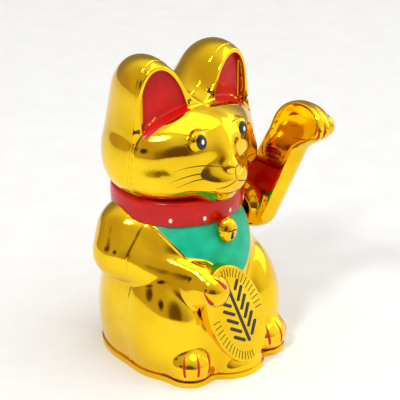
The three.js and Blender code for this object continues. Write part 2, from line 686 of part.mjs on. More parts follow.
// Each lead runs over the bay's roof from its contact's tab to a pad on the board's front edge.
const roofRun = BAY_TOP + LEAD_RADIUS + GAP;
const padY = CELL_Y - BAY_HALF_WIDTH + 1;
const padZ = COIL_Z + LEAD_RADIUS;
const cheekEdgeY = SEAM_Y - CHEEK_FOOT - LEAD_RADIUS - 1;
place(
  "positive_lead",
  lead([
    [POSITIVE_X - GAP - LEAD_RADIUS, CELL_Y, roofRun + 0.2],
    [POSITIVE_X - 2.5, CELL_Y - 3.5, roofRun],
    [outerCheekX + CHEEK / 2, cheekEdgeY, roofRun + 1.4],
    [outerCheekX - 1.5, padY, padZ + 0.6],
  ]),
  redSleeve,
);
place(
  "negative_lead",
  lead([
    [NEGATIVE_X + CONTACT_THICK + GAP + LEAD_RADIUS, CELL_Y, roofRun + 0.2],
    [NEGATIVE_X + 10, CELL_Y + 3, roofRun],
    [-8, CELL_Y - 2, roofRun],
    [innerCheekX - 2, cheekEdgeY + 0.4, roofRun + 0.4],
    [innerCheekX + CHEEK / 2, cheekEdgeY, roofRun + 0.8],
    [innerCheekX + CHEEK + 1.2, padY, padZ + 0.3],
  ]),
  blackSleeve,
);

// ---------------------------------------------------------------- slide switch
const switchTop = SHELL_BOTTOM + SWITCH.height;
const switchFloor = SHELL_BOTTOM + 0.8;
place(
  "switch_housing",
  box(
    SWITCH.x - SWITCH.halfLength,
    SWITCH.x + SWITCH.halfLength,
    SWITCH.y - SWITCH.halfWidth,
    SWITCH.y + SWITCH.halfWidth,
    SHELL_BOTTOM,
    switchTop,
  ).subtract(
    join(
      box(SWITCH.x - 3.6, SWITCH.x + 3.6, SWITCH.y - 1.8, SWITCH.y + 1.8, switchFloor, switchTop - 0.6),
      box(SWITCH.x - 3.3, SWITCH.x + 3.3, SWITCH.y - 1.1, SWITCH.y + 1.1, 0, switchFloor + 0.1),
    ),
  ),
  steel,
);
// The knob rests at the off end of its travel and slides towards +X.
const knobX = SWITCH.x - SWITCH.travel / 2;
place(
  "switch_knob",
  join(
    box(knobX - 0.9, knobX + 0.9, SWITCH.y - 0.8, SWITCH.y + 0.8, 0.3, switchFloor + GAP + 0.1),
    box(knobX - 2, knobX + 2, SWITCH.y - 1.5, SWITCH.y + 1.5, switchFloor + GAP, switchTop - 0.6 - GAP),
  ),
  blackPlastic,
);

// ---------------------------------------------------------------- screws
function screw(length) {
  const cross = [new THREE.BoxGeometry(3, 0.7, 1.2), new THREE.BoxGeometry(0.7, 3, 1.2)];
  const body = solid(
    new THREE.LatheGeometry(
      [
        [0, 0],
        [SCREW_HEAD_RADIUS, 0],
        [SCREW_HEAD_RADIUS, SCREW_HEAD * 0.7],
        [SCREW_RADIUS, SCREW_HEAD],
        [SCREW_RADIUS, length - 1.5],
        [0, length],
      ].map(([r, h]) => new THREE.Vector2(r, h)),
      12,
    ).rotateX(Math.PI / 2),
  );
  return cross.reduce((whole, slot) => whole.subtract(solid(slot)), body);
}
const SCREW_LENGTH = 9.5;
SCREW_BOSSES.forEach(([x, y], i) =>
  place("base_screw_" + (i + 1), screw(SCREW_LENGTH).translate([x, y, 0.2]), steel),
);
CHASSIS_SCREWS.forEach(([x, y], i) =>
  place("chassis_screw_" + (i + 1), screw(SCREW_LENGTH - 2).translate([x, y, 0.2]), steel),
);

// ---------------------------------------------------------------- the swinging arm
const armSpine = new THREE.LineCurve3(
  new THREE.Vector3(SWING_FACE_X + 9, -12, PIVOT_Z),
  new THREE.Vector3(PAW.x, PAW.y + 10, PAW.z - 3),
);
const armRows = { slices: 22, stacks: 20, caps: [0.22, 0.26], reach: 45 };
const armInnerRows = { ...armRows, slices: 12, stacks: 10, inset: WALL };
const shoulder = solid(
  new THREE.SphereGeometry(1, 28, 18).scale(9.5, 9.8, 10.2).translate(SWING_FACE_X + 7, SEAM_Y, PIVOT_Z - 0.5),
).intersect(box(SWING_FACE_X + GAP, SWING_FACE_X + 9, -SPAN, SPAN, 0, SPAN));
const TOES = [-6.3, -2.1, 2.1, 6.3];
const toe = (x) =>
  solid(
    new THREE.SphereGeometry(1, 9, 7)
      .scale(2.6, 6, 4.9)
      .translate(PAW.x + x, PAW.y - 7.5 + Math.abs(x) * 0.4, PAW.z - 1),
  );
const BOSS_INNER_X = outerCheekX + CHEEK + GAP;
const armBoss = crossbar(BOSS_INNER_X, SWING_FACE_X + 8, SEAM_Y, PIVOT_Z, BOSS_RADIUS);
const axleEnd = SWING_FACE_X + 5.5;
const axleBore = crossbar(BOSS_INNER_X - 1, axleEnd + GAP, SEAM_Y, PIVOT_Z, AXLE_RADIUS + GAP, 16);
const armOutside = join(solid(skin(arm, armSpine, armRows)), shoulder, ...TOES.map(toe));
const armInside = solid(skin(arm, armSpine, armInnerRows));
const wholeArm = join(armOutside.subtract(armInside), armBoss).subtract(axleBore);

// The arm is moulded in two halves that meet on a plane along its length.
const armSeamLean = Math.atan2(PAW.x - SWING_FACE_X - 9, PAW.z - PIVOT_Z);
const armHalf = (x0, x1) =>
  solid(
    new THREE.BoxGeometry(x1 - x0, SPAN, SPAN)
      .translate((x0 + x1) / 2, 0, 0)
      .rotateY(armSeamLean)
      .translate(SWING_FACE_X + 9, SEAM_Y, PIVOT_Z),
  );
place("arm_inner_half", wholeArm.intersect(armHalf(-SPAN, -GAP / 2)), plating);
place("arm_outer_half", wholeArm.intersect(armHalf(GAP / 2, SPAN)), plating);

// ---------------------------------------------------------------- axle and pendulum
place("axle", crossbar(innerCheekX - 1.5, axleEnd, SEAM_Y, PIVOT_Z, AXLE_RADIUS, 16), steel);

const LEVER_THICK = 3;
const HUB_RADIUS = 4.5;
const leverHalf = 2.2;
const cupWall = 1.2;
const cupRadius = MAGNET_RADIUS + GAP + cupWall;
const cupTop = MAGNET_Z + MAGNET_HEIGHT + GAP + cupWall;
const cup = post(LEVER_X, SEAM_Y, MAGNET_Z, cupTop, cupRadius, 28).subtract(
  post(LEVER_X, SEAM_Y, MAGNET_Z - 1, MAGNET_Z + MAGNET_HEIGHT + GAP, MAGNET_RADIUS + GAP, 24),
);
// First moment of a solid's volume about the axle, counted backwards along Y.
function momentBehindAxle(shape) {
  const { vertProperties, triVerts } = shape.getMesh();
  const corner = (i) => new THREE.Vector3().fromArray(vertProperties, 3 * triVerts[i]);
  let moment = 0;
  for (let i = 0; i < triVerts.length; i += 3) {
    const [a, b, c] = [corner(i), corner(i + 1), corner(i + 2)];
    const volume = a.dot(b.clone().cross(c)) / 6;
    moment += volume * ((a.y + b.y + c.y) / 4 - SEAM_Y);
  }
  return moment;
}

const leverPlate = box(
  LEVER_X - LEVER_THICK / 2,
  LEVER_X + LEVER_THICK / 2,
  SEAM_Y - leverHalf,
  SEAM_Y + leverHalf,
  cupTop - 0.5,
  PIVOT_Z,
);
// The arm reaches forwards, so a weight behind the lever brings the balance back under the axle.
const WEIGHT = { z: PIVOT_Z - 18.5, halfHeight: 6.5, halfWidth: 6, front: 3 };
const outrigger = box(
  LEVER_X - LEVER_THICK / 2,
  LEVER_X + LEVER_THICK / 2,
  SEAM_Y,
  SEAM_Y + WEIGHT.front - GAP,
  WEIGHT.z - 3,
  WEIGHT.z + 3,
);
const pegRadius = 1.2;
const pegHole = pegRadius + 0.1;
const plainLever = join(
  leverPlate,
  outrigger,
  cup,
  crossbar(LEVER_X - 5, LEVER_X + 5, SEAM_Y, PIVOT_Z, HUB_RADIUS),
).subtract(crossbar(LEVER_X - 6, LEVER_X + 6, SEAM_Y, PIVOT_Z, AXLE_RADIUS + 0.1, 16));
const plasticMoment = momentBehindAxle(wholeArm.add(plainLever)) * PLASTIC_DENSITY;
const weightArea = 4 * WEIGHT.halfHeight * WEIGHT.halfWidth - Math.PI * pegHole * pegHole;
const weightDepth =
  Math.sqrt(WEIGHT.front ** 2 - (2 * plasticMoment) / STEEL_DENSITY / weightArea) - WEIGHT.front;
const weightStart = SEAM_Y + WEIGHT.front;
const alongWeight = (radius, y0, y1) =>
  solid(
    new THREE.CylinderGeometry(radius, radius, y1 - y0, 12).translate(LEVER_X, (y0 + y1) / 2, WEIGHT.z),
  );
place(
  "pendulum_lever",
  plainLever.add(alongWeight(pegRadius, SEAM_Y, weightStart + weightDepth + 1)),
  whitePlastic,
);
place(
  "pendulum_weight",
  box(
    LEVER_X - WEIGHT.halfWidth,
    LEVER_X + WEIGHT.halfWidth,
    weightStart,
    weightStart + weightDepth,
    WEIGHT.z - WEIGHT.halfHeight,
    WEIGHT.z + WEIGHT.halfHeight,
  ).subtract(alongWeight(pegHole, SEAM_Y, weightStart + weightDepth + 5)),
  steel,
);
place("magnet", post(LEVER_X, SEAM_Y, MAGNET_Z, MAGNET_Z + MAGNET_HEIGHT, MAGNET_RADIUS, 24), ferrite);

export default figurine;
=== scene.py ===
"""Beckoning cat figurine: the visible surfaces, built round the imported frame.

Gold-plated moulded plastic in two shells, a two-part arm that swings, a glossy red collar, a green bib, an oval
plaque and painted details. The form is a set of rounded masses that melt into each other. A mesh starts from
spheres and cones, is remeshed into one skin, and each vertex then settles on the melted form.
"""
import math
import bmesh
import bpy
import numpy as np
from mathutils import Matrix, Vector


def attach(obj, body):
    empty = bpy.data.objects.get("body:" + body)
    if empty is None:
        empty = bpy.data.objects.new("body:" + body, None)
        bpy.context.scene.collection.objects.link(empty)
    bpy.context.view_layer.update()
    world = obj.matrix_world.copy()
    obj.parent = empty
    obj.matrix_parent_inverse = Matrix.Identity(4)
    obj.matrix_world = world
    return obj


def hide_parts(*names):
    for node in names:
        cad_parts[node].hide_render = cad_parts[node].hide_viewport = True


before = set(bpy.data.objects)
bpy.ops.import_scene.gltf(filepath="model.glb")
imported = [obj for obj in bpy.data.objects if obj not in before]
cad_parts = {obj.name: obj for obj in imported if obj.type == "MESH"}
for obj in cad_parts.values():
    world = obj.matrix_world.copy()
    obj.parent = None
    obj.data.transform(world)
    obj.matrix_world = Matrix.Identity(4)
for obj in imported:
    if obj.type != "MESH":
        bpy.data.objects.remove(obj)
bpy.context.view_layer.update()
MM = 0.001

# ---------------------------------------------------------------- sizes, in millimetres
SEAM_Y = -8.5  # parting plane of the body
SHELL_BOTTOM = 2.7
COLLAR_Z = 66
COLLAR_RADIUS = 29.2
COLLAR_MIDDLE_Y = 1.0
PIVOT_Z = 58
SEAT_X = 27.5  # flat seat for the raised arm
SEAT_RADIUS = 12
BOSS_RADIUS = 4.5
WALL = 1.0


# ---------------------------------------------------------------- masses: distance outside, negative inside
def egg(centre, radii):
    c, r = np.array(centre, float), np.array(radii, float)

    def mass(p):
        d = (p - c) / r
        near = np.sqrt((d * d).sum(1)) + 1e-9
        steep = np.sqrt(((d / r) ** 2).sum(1)) + 1e-12
        return near * (near - 1) / steep

    return mass


def limb(start, end, start_radius, end_radius):
    a, run = np.array(start, float), np.array(end, float) - np.array(start, float)

    def mass(p):
        share = np.clip((p - a) @ run / (run @ run), 0, 1)
        off = np.sqrt(((p - a - share[:, None] * run) ** 2).sum(1))
        return off - (start_radius + (end_radius - start_radius) * share)

    return mass


def both_sides(mass):
    return lambda p: mass(p * np.where(p[:, :1] < 0, [-1, 1, 1], [1, 1, 1]))


def melt_two(a, b, softness):
    near = np.maximum(softness - np.abs(a - b), 0) / softness
    return np.minimum(a, b) - near * near * softness / 4


def melt(softness, *masses):
    def mass(p):
        whole = masses[0](p)
        for other in masses[1:]:
            whole = melt_two(whole, other(p), softness)
        return whole

    return mass


def carve(softness, mass, hollow):
    return lambda p: -melt_two(-mass(p), hollow(p), softness)


def behind(normal, point):
    n = np.array(normal, float)
    n /= np.linalg.norm(n)
    return lambda p: (p - np.array(point, float)) @ n


def overlap(softness, *masses):
    def mass(p):
        whole = -masses[0](p)
        for other in masses[1:]:
            whole = melt_two(whole, -other(p), softness)
        return -whole

    return mass


def bar_across(y, z, radius, x_from):
    return lambda p: np.maximum(np.hypot(p[:, 1] - y, p[:, 2] - z) - radius, x_from - p[:, 0])


# ---------------------------------------------------------------- the cat's form
TORSO = [([-0.5, 0.5, 18], [36, 34.5, 48]), ([-1, 2, 54], [31, 29.5, 23]), ([0, -10, 43], [26, 24, 28])]
HEAD = [([0, -2, 99], [33, 27.5, 18.5]), ([0, -2.5, 88.5], [34.8, 28.5, 16]), ([0, -15, 100], [21, 16, 15]),
        ([0, 2.5, 95.5], [33, 24.5, 19.5])]
HAUNCH = ([19.8, -13.5, 19], [17.8, 24, 32])
FOOT = ([21, -30.8, 7.5], [11, 12.3, 9.5])
UPPER_ARM = ([-25, 6, 58], [-29.5, 4, 50], 12, 12)
FOREARM_TOP = ([-27.5, 1, 52.5], [-14, -30, 45.5], 10, 7.5)
FOREARM_LOW = ([-28.5, 1, 48.5], [-16, -30.5, 39], 11, 7.5)
HAND = ([-12.6, -36, 41.5], [8, 9, 8.5])
MUZZLE = ([0, -28, 88], [12, 10, 8.5])
NOSE_BRIDGE = ([0, -24, 107], [0, -32.5, 95], 4, 3.2)
CHIN = ([0, -26, 81], [8.5, 7.5, 5])
EYE_DOME = ([11.0, -25.6, 105.2], [4.8, 3.2, 5.4])
NOSE_TIP = ([0, -34.6, 94.2], [3.2, 2.2, 2.0])

LAP = ([-5.5, -33, 13], [16, 10.5, 24])  # the belly behind the plaque
PLINTH = ([0.5, -38.5, 3], [13, 8.9, 8])  # the plaque's foot

torso = melt(8, *[egg(*m) for m in TORSO])
head = melt(6, *[egg(*m) for m in HEAD])
face = melt(2, melt(3, egg(*MUZZLE), limb(*NOSE_BRIDGE), egg(*CHIN)), egg(*NOSE_TIP))
trunk = melt(5, torso, head)
haunches = both_sides(melt(2.5, egg(*HAUNCH), egg(*FOOT)))
right_arm = melt(3, melt(9, limb(*UPPER_ARM), egg(*TORSO[1])), limb(*FOREARM_TOP), limb(*FOREARM_LOW),
                 egg(*HAND))

EAR_MIDDLE = np.array([16.5, -3, 111])
EAR_RADII = np.array([13.8, 23, 28])
EAR_LEAN = 3.2 / 28
EAR_TURN = math.radians(12)
EAR_FACE = np.array([16.5, -13, 111])
EAR_FACE_NORMAL = np.array([math.sin(EAR_TURN), -math.cos(EAR_TURN), 0])
EAR_RIM = 1.7
EAR_RECESS = 2.2
EAR_HEIGHTS = {-1: 27.5, 1: 25.8}  # the two ears are not quite level


def ear_egg(inset, height):
    upright = egg(EAR_MIDDLE, np.array([EAR_RADII[0], EAR_RADII[1], height]) - inset)

    def mass(p):
        leaned = p.copy()
        leaned[:, 0] -= EAR_LEAN * (p[:, 2] - EAR_MIDDLE[2])
        return upright(leaned)

    return mass


ear_front = behind(EAR_FACE_NORMAL, EAR_FACE)


def ear(side):
    height = EAR_HEIGHTS[side]
    blended = melt(12, ear_egg(0, height), lambda p: head(p) + 1.3)
    body = overlap(0.5, blended, ear_front)
    hollow = overlap(0.5, ear_egg(EAR_RIM, height), lambda p: -(ear_front(p) + EAR_RECESS))
    cut = carve(0.5, body, hollow)
    return lambda p: cut(p * [side, 1, 1])


right_ear, left_ear = ear(-1), ear(1)


BIB_HALF_WIDTH, BIB_DROP, BIB_CURVE = 25, 26.5, 2.1


def bib_edge(p):
    """Distance inside the bib's outline, seen from the front."""
    x, z = np.abs(p[:, 0]) / BIB_HALF_WIDTH, p[:, 2]
    drop = BIB_DROP * (1 - np.minimum(x, 1.2) ** BIB_CURVE)
    slope = np.sqrt(1 + (BIB_DROP / BIB_HALF_WIDTH * BIB_CURVE * np.minimum(x, 1.2) ** 1.1) ** 2)
    low = (z - (COLLAR_Z - drop)) / slope
    return np.where(p[:, 1] < -10, low, -5)


def soft_step(x, width):
    t = np.clip(x / width + 0.5, 0, 1)
    return t * t * (3 - 2 * t)


def seam_groove(p):
    return 0.22 * np.exp(-(((p[:, 1] - SEAM_Y) / 0.3) ** 2))


body_mass = melt(4, melt(5, trunk, face), melt(2, egg(*LAP), egg(*PLINTH)))
eye_domes = both_sides(egg(*EYE_DOME))
seat = bar_across(SEAM_Y, PIVOT_Z, SEAT_RADIUS, SEAT_X)
bearing = bar_across(SEAM_Y, PIVOT_Z, BOSS_RADIUS + 0.5, SEAT_X - 3.6)


def body_form(p):
    chest = body_mass(p) - 0.5 * soft_step(bib_edge(p) * np.where(p[:, 2] < COLLAR_Z + 2, 1, -1), 0.8)
    whole = melt_two(chest, eye_domes(p), 0.8)
    whole = melt_two(whole, haunches(p), 2.5)
    whole = melt_two(whole, right_arm(p), 1.2)
    whole = melt_two(whole, np.minimum(right_ear(p), left_ear(p)), 1.2)
    pocket = np.minimum(seat(p), bearing(p))
    return -melt_two(-whole, pocket, 0.4) + seam_groove(p)


PAW = np.array([45.2, -31, 100.8])
ARM_LEAN = 0.24
ARM_LIMBS = [([35.5, -13.5, 57], [45, -27, 95], 8, 6.8), ([35.5, -7.5, 59], [44.5, -20.5, 95.5], 8, 6.8)]
ARM_EGGS = [([44.8, -25, 98], [7.5, 9, 8.5]), (PAW, [9, 12, 8.8])]
SHOULDER = ([34.5, SEAM_Y, PIVOT_Z - 0.5], [9.5, 9.8, 10.2])
ARM_MASSES = [limb(*m) for m in ARM_LIMBS] + [egg(*m) for m in ARM_EGGS]
TOE_SPREAD = (-6.3, -2.1, 2.1, 6.3)
TOE_RADII = [2.6, 6, 4.9]
toe_places = [PAW + [x, -7.5 + abs(x) * 0.4, -1] for x in TOE_SPREAD]
toes = melt(0.4, *[egg(c, TOE_RADII) for c in toe_places])
ARM_FACE_NORMAL = np.array([-1, 0, ARM_LEAN]) / math.hypot(1, ARM_LEAN)
arm_face = behind(ARM_FACE_NORMAL, [SEAT_X + 3.5, 0, PIVOT_Z])
shoulder = overlap(0.4, egg(*SHOULDER), lambda p: np.maximum(SEAT_X + 0.3 - p[:, 0], p[:, 0] - 36.5))
ARM_SPLIT = np.array([36.5, SEAM_Y, PIVOT_Z])
ARM_SPLIT_LEAN = math.atan2(8.5, 42)
ARM_SPLIT_NORMAL = np.array([math.cos(ARM_SPLIT_LEAN), 0, -math.sin(ARM_SPLIT_LEAN)])


def arm_form(p):
    whole = melt(5, *ARM_MASSES)(p)
    whole = melt_two(whole, toes(p), 1.0)
    whole = -melt_two(-whole, -arm_face(p), 1.0)
    whole = melt_two(whole, shoulder(p), 3)
    split = (p - ARM_SPLIT) @ ARM_SPLIT_NORMAL
    return whole + 0.2 * np.exp(-((split / 0.3) ** 2))
# ---------------------------------------------------------------- end of form


def slope_of(form, p, step=0.03):
    gradient = np.empty_like(p)
    for axis in range(3):
        ahead, back = p.copy(), p.copy()
        ahead[:, axis] += step
        back[:, axis] -= step
        gradient[:, axis] = (form(ahead) - form(back)) / (2 * step)
    return gradient


def settle(form, p, rounds=6, limit=1.5):
    """Moves each point onto the form's surface along its slope."""
    p = p.copy()
    step = 0.02
    for _ in range(rounds):
        value = form(p)
        gradient = np.empty_like(p)
        for axis in range(3):
            ahead = p.copy()
            ahead[:, axis] += step
            gradient[:, axis] = (form(ahead) - value) / step
        size = np.maximum((gradient ** 2).sum(1), 0.2)
        move = gradient * (value / size)[:, None]
        length = np.sqrt((move ** 2).sum(1))
        move *= np.minimum(1, limit / np.maximum(length, 1e-9))[:, None]
        p -= move
    return p


def outward(form, p):
    gradient = slope_of(form, p)
    return gradient / np.maximum(np.sqrt((gradient ** 2).sum(1)), 1e-9)[:, None]


# ---------------------------------------------------------------- mesh helpers
def linked(name, mesh):
    piece = bpy.data.objects.new(name, mesh)
    bpy.context.scene.collection.objects.link(piece)
    return piece


def points_of(bm):
    return np.array([v.co for v in bm.verts], float) / MM


def move_points(bm, p):
    for vert, place in zip(bm.verts, p * MM):
        vert.co = place


def add_ball(bm, centre, radii, shear=0.0):
    made = bmesh.ops.create_icosphere(bm, subdivisions=4, radius=1.0)
    for vert in made["verts"]:
        x, y, z = (vert.co[i] * radii[i] for i in range(3))
        vert.co = Vector((centre[0] + x + shear * z, centre[1] + y, centre[2] + z)) * MM


def cut_flat(bm, point, normal):
    """Cuts a closed solid with a plane, keeps what lies behind it, and closes the cut."""
    bmesh.ops.bisect_plane(bm, geom=bm.verts[:] + bm.edges[:] + bm.faces[:], dist=1e-7,
                           plane_co=Vector(point) * MM, plane_no=Vector(normal), clear_outer=True)
    open_edges = [e for e in bm.edges if e.is_boundary]
    bmesh.ops.contextual_create(bm, geom=open_edges)


def add_rough_ear(bm, side):
    """An egg cut flat in front, with its hollow cut into the flat."""
    radii = np.array([EAR_RADII[0], EAR_RADII[1], EAR_HEIGHTS[side]])
    ear_solid, hollow = bmesh.new(), bmesh.new()
    add_ball(ear_solid, EAR_MIDDLE, radii, EAR_LEAN)
    cut_flat(ear_solid, EAR_FACE, EAR_FACE_NORMAL)
    add_ball(hollow, EAR_MIDDLE, radii - EAR_RIM, EAR_LEAN)
    cut_flat(hollow, EAR_FACE - EAR_RECESS * EAR_FACE_NORMAL, -EAR_FACE_NORMAL)
    made = []
    for part in (ear_solid, hollow):
        mesh = bpy.data.meshes.new("rough_ear")
        part.to_mesh(mesh)
        part.free()
        made.append(linked("rough_ear", mesh))
    cutter = made[0].modifiers.new("hollow", "BOOLEAN")
    cutter.object = made[1]
    cutter.solver = "EXACT"
    cut = bpy.data.meshes.new_from_object(made[0].evaluated_get(bpy.context.evaluated_depsgraph_get()))
    if side < 0:
        cut.transform(Matrix.Scale(-1, 4, (1, 0, 0)))
        cut.flip_normals()
    bm.from_mesh(cut)
    for part in made:
        bpy.data.objects.remove(part)
    bpy.data.meshes.remove(cut)


def add_limb(bm, start, end, start_radius, end_radius):
    add_ball(bm, start, [start_radius] * 3)
    add_ball(bm, end, [end_radius] * 3)
    a, b = Vector(start), Vector(end)
    turn = (b - a).to_track_quat("Z", "Y").to_matrix().to_4x4()
    place = Matrix.Translation((a + b) / 2 * MM) @ turn
    bmesh.ops.create_cone(bm, cap_ends=True, segments=32, radius1=start_radius * MM, radius2=end_radius * MM,
                          depth=(b - a).length * MM, matrix=place)


def one_skin(bm, name, grain):
    """Joins the overlapping solids in a bmesh into one closed skin of even squares."""
    mesh = bpy.data.meshes.new(name)
    bm.to_mesh(mesh)
    bm.free()
    rough = linked(name, mesh)
    remesh = rough.modifiers.new("one skin", "REMESH")
    remesh.mode = "VOXEL"
    remesh.voxel_size = grain * MM * 1
    joined = bpy.data.meshes.new_from_object(rough.evaluated_get(bpy.context.evaluated_depsgraph_get()))
    bpy.data.objects.remove(rough)
    skin = bmesh.new()
    skin.from_mesh(joined)
    bpy.data.meshes.remove(joined)
    return skin


def sculpt(bm, form, turn_limits, finest):
    """Settles a skin on a form, and divides edges where the surface turns sharply."""
    move_points(bm, settle(form, points_of(bm), 6))
    bmesh.ops.smooth_vert(bm, verts=bm.verts, factor=0.5, use_axis_x=True, use_axis_y=True, use_axis_z=True)
    move_points(bm, settle(form, points_of(bm), 3))
    bmesh.ops.triangulate(bm, faces=bm.faces)
    for limit in turn_limits:
        p = points_of(bm)
        n = outward(form, p)
        bm.verts.index_update()
        ends = np.array([[v.index for v in e.verts] for e in bm.edges])
        turn = (n[ends[:, 0]] * n[ends[:, 1]]).sum(1)
        length = np.linalg.norm(p[ends[:, 0]] - p[ends[:, 1]], axis=1)
        sharp = (turn < math.cos(math.radians(limit))) & (length > finest)
        bm.edges.ensure_lookup_table()
        bmesh.ops.subdivide_edges(bm, edges=[bm.edges[i] for i in np.flatnonzero(sharp)], cuts=1)
        bmesh.ops.triangulate(bm, faces=bm.faces)
        move_points(bm, settle(form, points_of(bm), 3, limit=0.4))


def half_of(bm, point, normal, gap=0.05):
    """A copy of a skin, cut by a plane and kept on the side that the normal points away from."""
    half = bm.copy()
    n = Vector(normal).normalized()
    bmesh.ops.bisect_plane(half, geom=half.verts[:] + half.edges[:] + half.faces[:], dist=1e-7,
                           plane_co=Vector(point) * MM - n * gap * MM, plane_no=n, clear_outer=True)
    return half


def finish_skin(bm, name, form, paints, wall=WALL):
    """Gives a cut skin its wall, its paint outlines and the form's own normals."""
    inner_verts, inner_faces = bm.verts[:], bm.faces[:]
    sunk = (points_of(bm) - wall * outward(form, points_of(bm))) * MM
    bmesh.ops.extrude_face_region(bm, geom=inner_faces, use_keep_orig=True)
    for vert, place in zip(inner_verts, sunk):
        vert.co = place
    bmesh.ops.reverse_faces(bm, faces=inner_faces)
    bm.normal_update()
    p = points_of(bm)
    mesh = bpy.data.meshes.new(name)
    for face in bm.faces:
        face.smooth = True
    bm.to_mesh(mesh)
    bm.free()
    value = form(p)
    on_form = np.abs(value) < 0.12
    n = outward(form, p)
    natural = np.array([v.normal for v in mesh.vertices])
    n = np.where(on_form[:, None], n, natural)
    for paint_name, outline in paints.items():
        attribute = mesh.attributes.new(paint_name, "FLOAT", "POINT")
        attribute.data.foreach_set("value", np.where(on_form, outline(p), -9).astype(np.float32))
    mesh.normals_split_custom_set_from_vertices([tuple(v) for v in n])
    return linked(name, mesh)


def closed_piece(bm, name, smooth=True):
    bmesh.ops.remove_doubles(bm, verts=bm.verts, dist=1e-7)
    bmesh.ops.recalc_face_normals(bm, faces=bm.faces)
    for face in bm.faces:
        face.smooth = smooth
    mesh = bpy.data.meshes.new(name)
    bm.to_mesh(mesh)
    bm.free()
    return linked(name, mesh)


# ---------------------------------------------------------------- materials
def linear(hex_colour):
    parts = [int(hex_colour[i:i + 2], 16) / 255 for i in (1, 3, 5)]
    return tuple(c / 12.92 if c <= 0.04045 else ((c + 0.055) / 1.055) ** 2.4 for c in parts) + (1.0,)


def node(tree, kind, settings=None, links=None, at=(0, 0)):
    """Adds a node. Settings name its properties or inputs, and links name (node, output) for its inputs."""
    made = tree.nodes.new("ShaderNode" + kind)
    made.location = at
    for key, value in (settings or {}).items():
        if isinstance(key, int) or key in made.inputs:
            made.inputs[key].default_value = value
        else:
            setattr(made, key, value)
    for key, (source, output) in (links or {}).items():
        tree.links.new(source.outputs[output], made.inputs[key])
    return made


def new_material(name, **shader_settings):
    material = bpy.data.materials.new(name)
    material.use_nodes = True
    tree = material.node_tree
    tree.nodes.clear()
    shader = node(tree, "BsdfPrincipled", {k.replace("_", " "): v for k, v in shader_settings.items()})
    output = node(tree, "OutputMaterial", at=(300, 0))
    tree.links.new(shader.outputs[0], output.inputs[0])
    where = node(tree, "TexCoord", at=(-1200, 0))
    return material, tree, shader, where


def ramp(tree, source, low, high, at=(0, 0), kind="LINEAR"):
    """A two-step ramp between two (position, colour) stops."""
    made = node(tree, "ValToRGB", links={0: source}, at=at)
    made.color_ramp.interpolation = kind
    for stop, (position, colour) in zip(made.color_ramp.elements, (low, high)):
        stop.position = position
        stop.color = colour
    return made


GOLD = "#F7D01D"
GOLD_DEEP = "#E9B80C"
RED = "#CE0A04"
RED_DEEP = "#BC0803"


def gold_surface(tree, where, shader, wobble=0.05):
    """Mould waviness, fine grain and faint handling haze, all in real millimetres."""
    wave = node(tree, "TexNoise", {"Scale": 90.0, "Detail": 1.0}, {0: (where, "Object")}, (-900, -200))
    grain = node(tree, "TexNoise", {"Scale": 1400.0, "Detail": 2.0}, {0: (where, "Object")}, (-900, -450))
    wave_bump = node(tree, "Bump", {"Strength": wobble, "Distance": 0.004}, {"Height": (wave, 0)}, (-500, -200))
    grain_bump = node(tree, "Bump", {"Strength": 0.03, "Distance": 0.0004},
                      {"Height": (grain, 0), "Normal": (wave_bump, 0)}, (-300, -300))
    tree.links.new(grain_bump.outputs[0], shader.inputs["Normal"])
    haze = node(tree, "TexNoise", {"Scale": 45.0, "Detail": 4.0}, {0: (where, "Object")}, (-900, 100))
    rough = node(tree, "MapRange", {"From Min": 0.35, "From Max": 0.75, "To Min": 0.045, "To Max": 0.11},
                 {0: (haze, 0)}, (-600, 100))
    tree.links.new(rough.outputs[0], shader.inputs["Roughness"])
    tint = ramp(tree, (haze, 0), (0.3, linear(GOLD_DEEP)), (0.62, linear(GOLD)), (-600, 350))
    return tint, rough


# Vacuum-metallised plastic: aluminium flashed on under a yellow lacquer. It mirrors the room in deep yellow, and
# the lacquer adds small white highlights. The moulding's waviness bends the reflections a little.
def gold_material():
    material, tree, shader, where = new_material("vacuum_metallised_gold", Metallic=1.0)
    tint, _ = gold_surface(tree, where, shader)
    tree.links.new(tint.outputs[0], shader.inputs["Base Color"])
    shader.inputs["Coat Weight"].default_value = 0.12
    shader.inputs["Coat Roughness"].default_value = 0.03
    return material


def enamel_over(tree, where, base, paint_name, colour, shade, edge=(0.0, 0.12)):
    """Mixes a painted colour over a base colour where an outline attribute is positive."""
    outline = node(tree, "Attribute", {"attribute_name": paint_name}, at=(-900, 700))
    mask = node(tree, "MapRange", {"From Min": edge[0], "From Max": edge[1]}, {0: (outline, "Fac")}, (-600, 700))
    blotch = node(tree, "TexNoise", {"Scale": 160.0, "Detail": 3.0}, {0: (where, "Object")}, (-900, 950))
    tone = ramp(tree, (blotch, 0), (0.35, linear(shade)), (0.65, linear(colour)), (-600, 950))
    mixed = node(tree, "Mix", {"data_type": "RGBA"}, at=(-200, 600))
    tree.links.new(mask.outputs[0], mixed.inputs[0])
    tree.links.new(base[0].outputs[base[1]], mixed.inputs[6])
    tree.links.new(tone.outputs[0], mixed.inputs[7])
    return (mixed, 2), mask


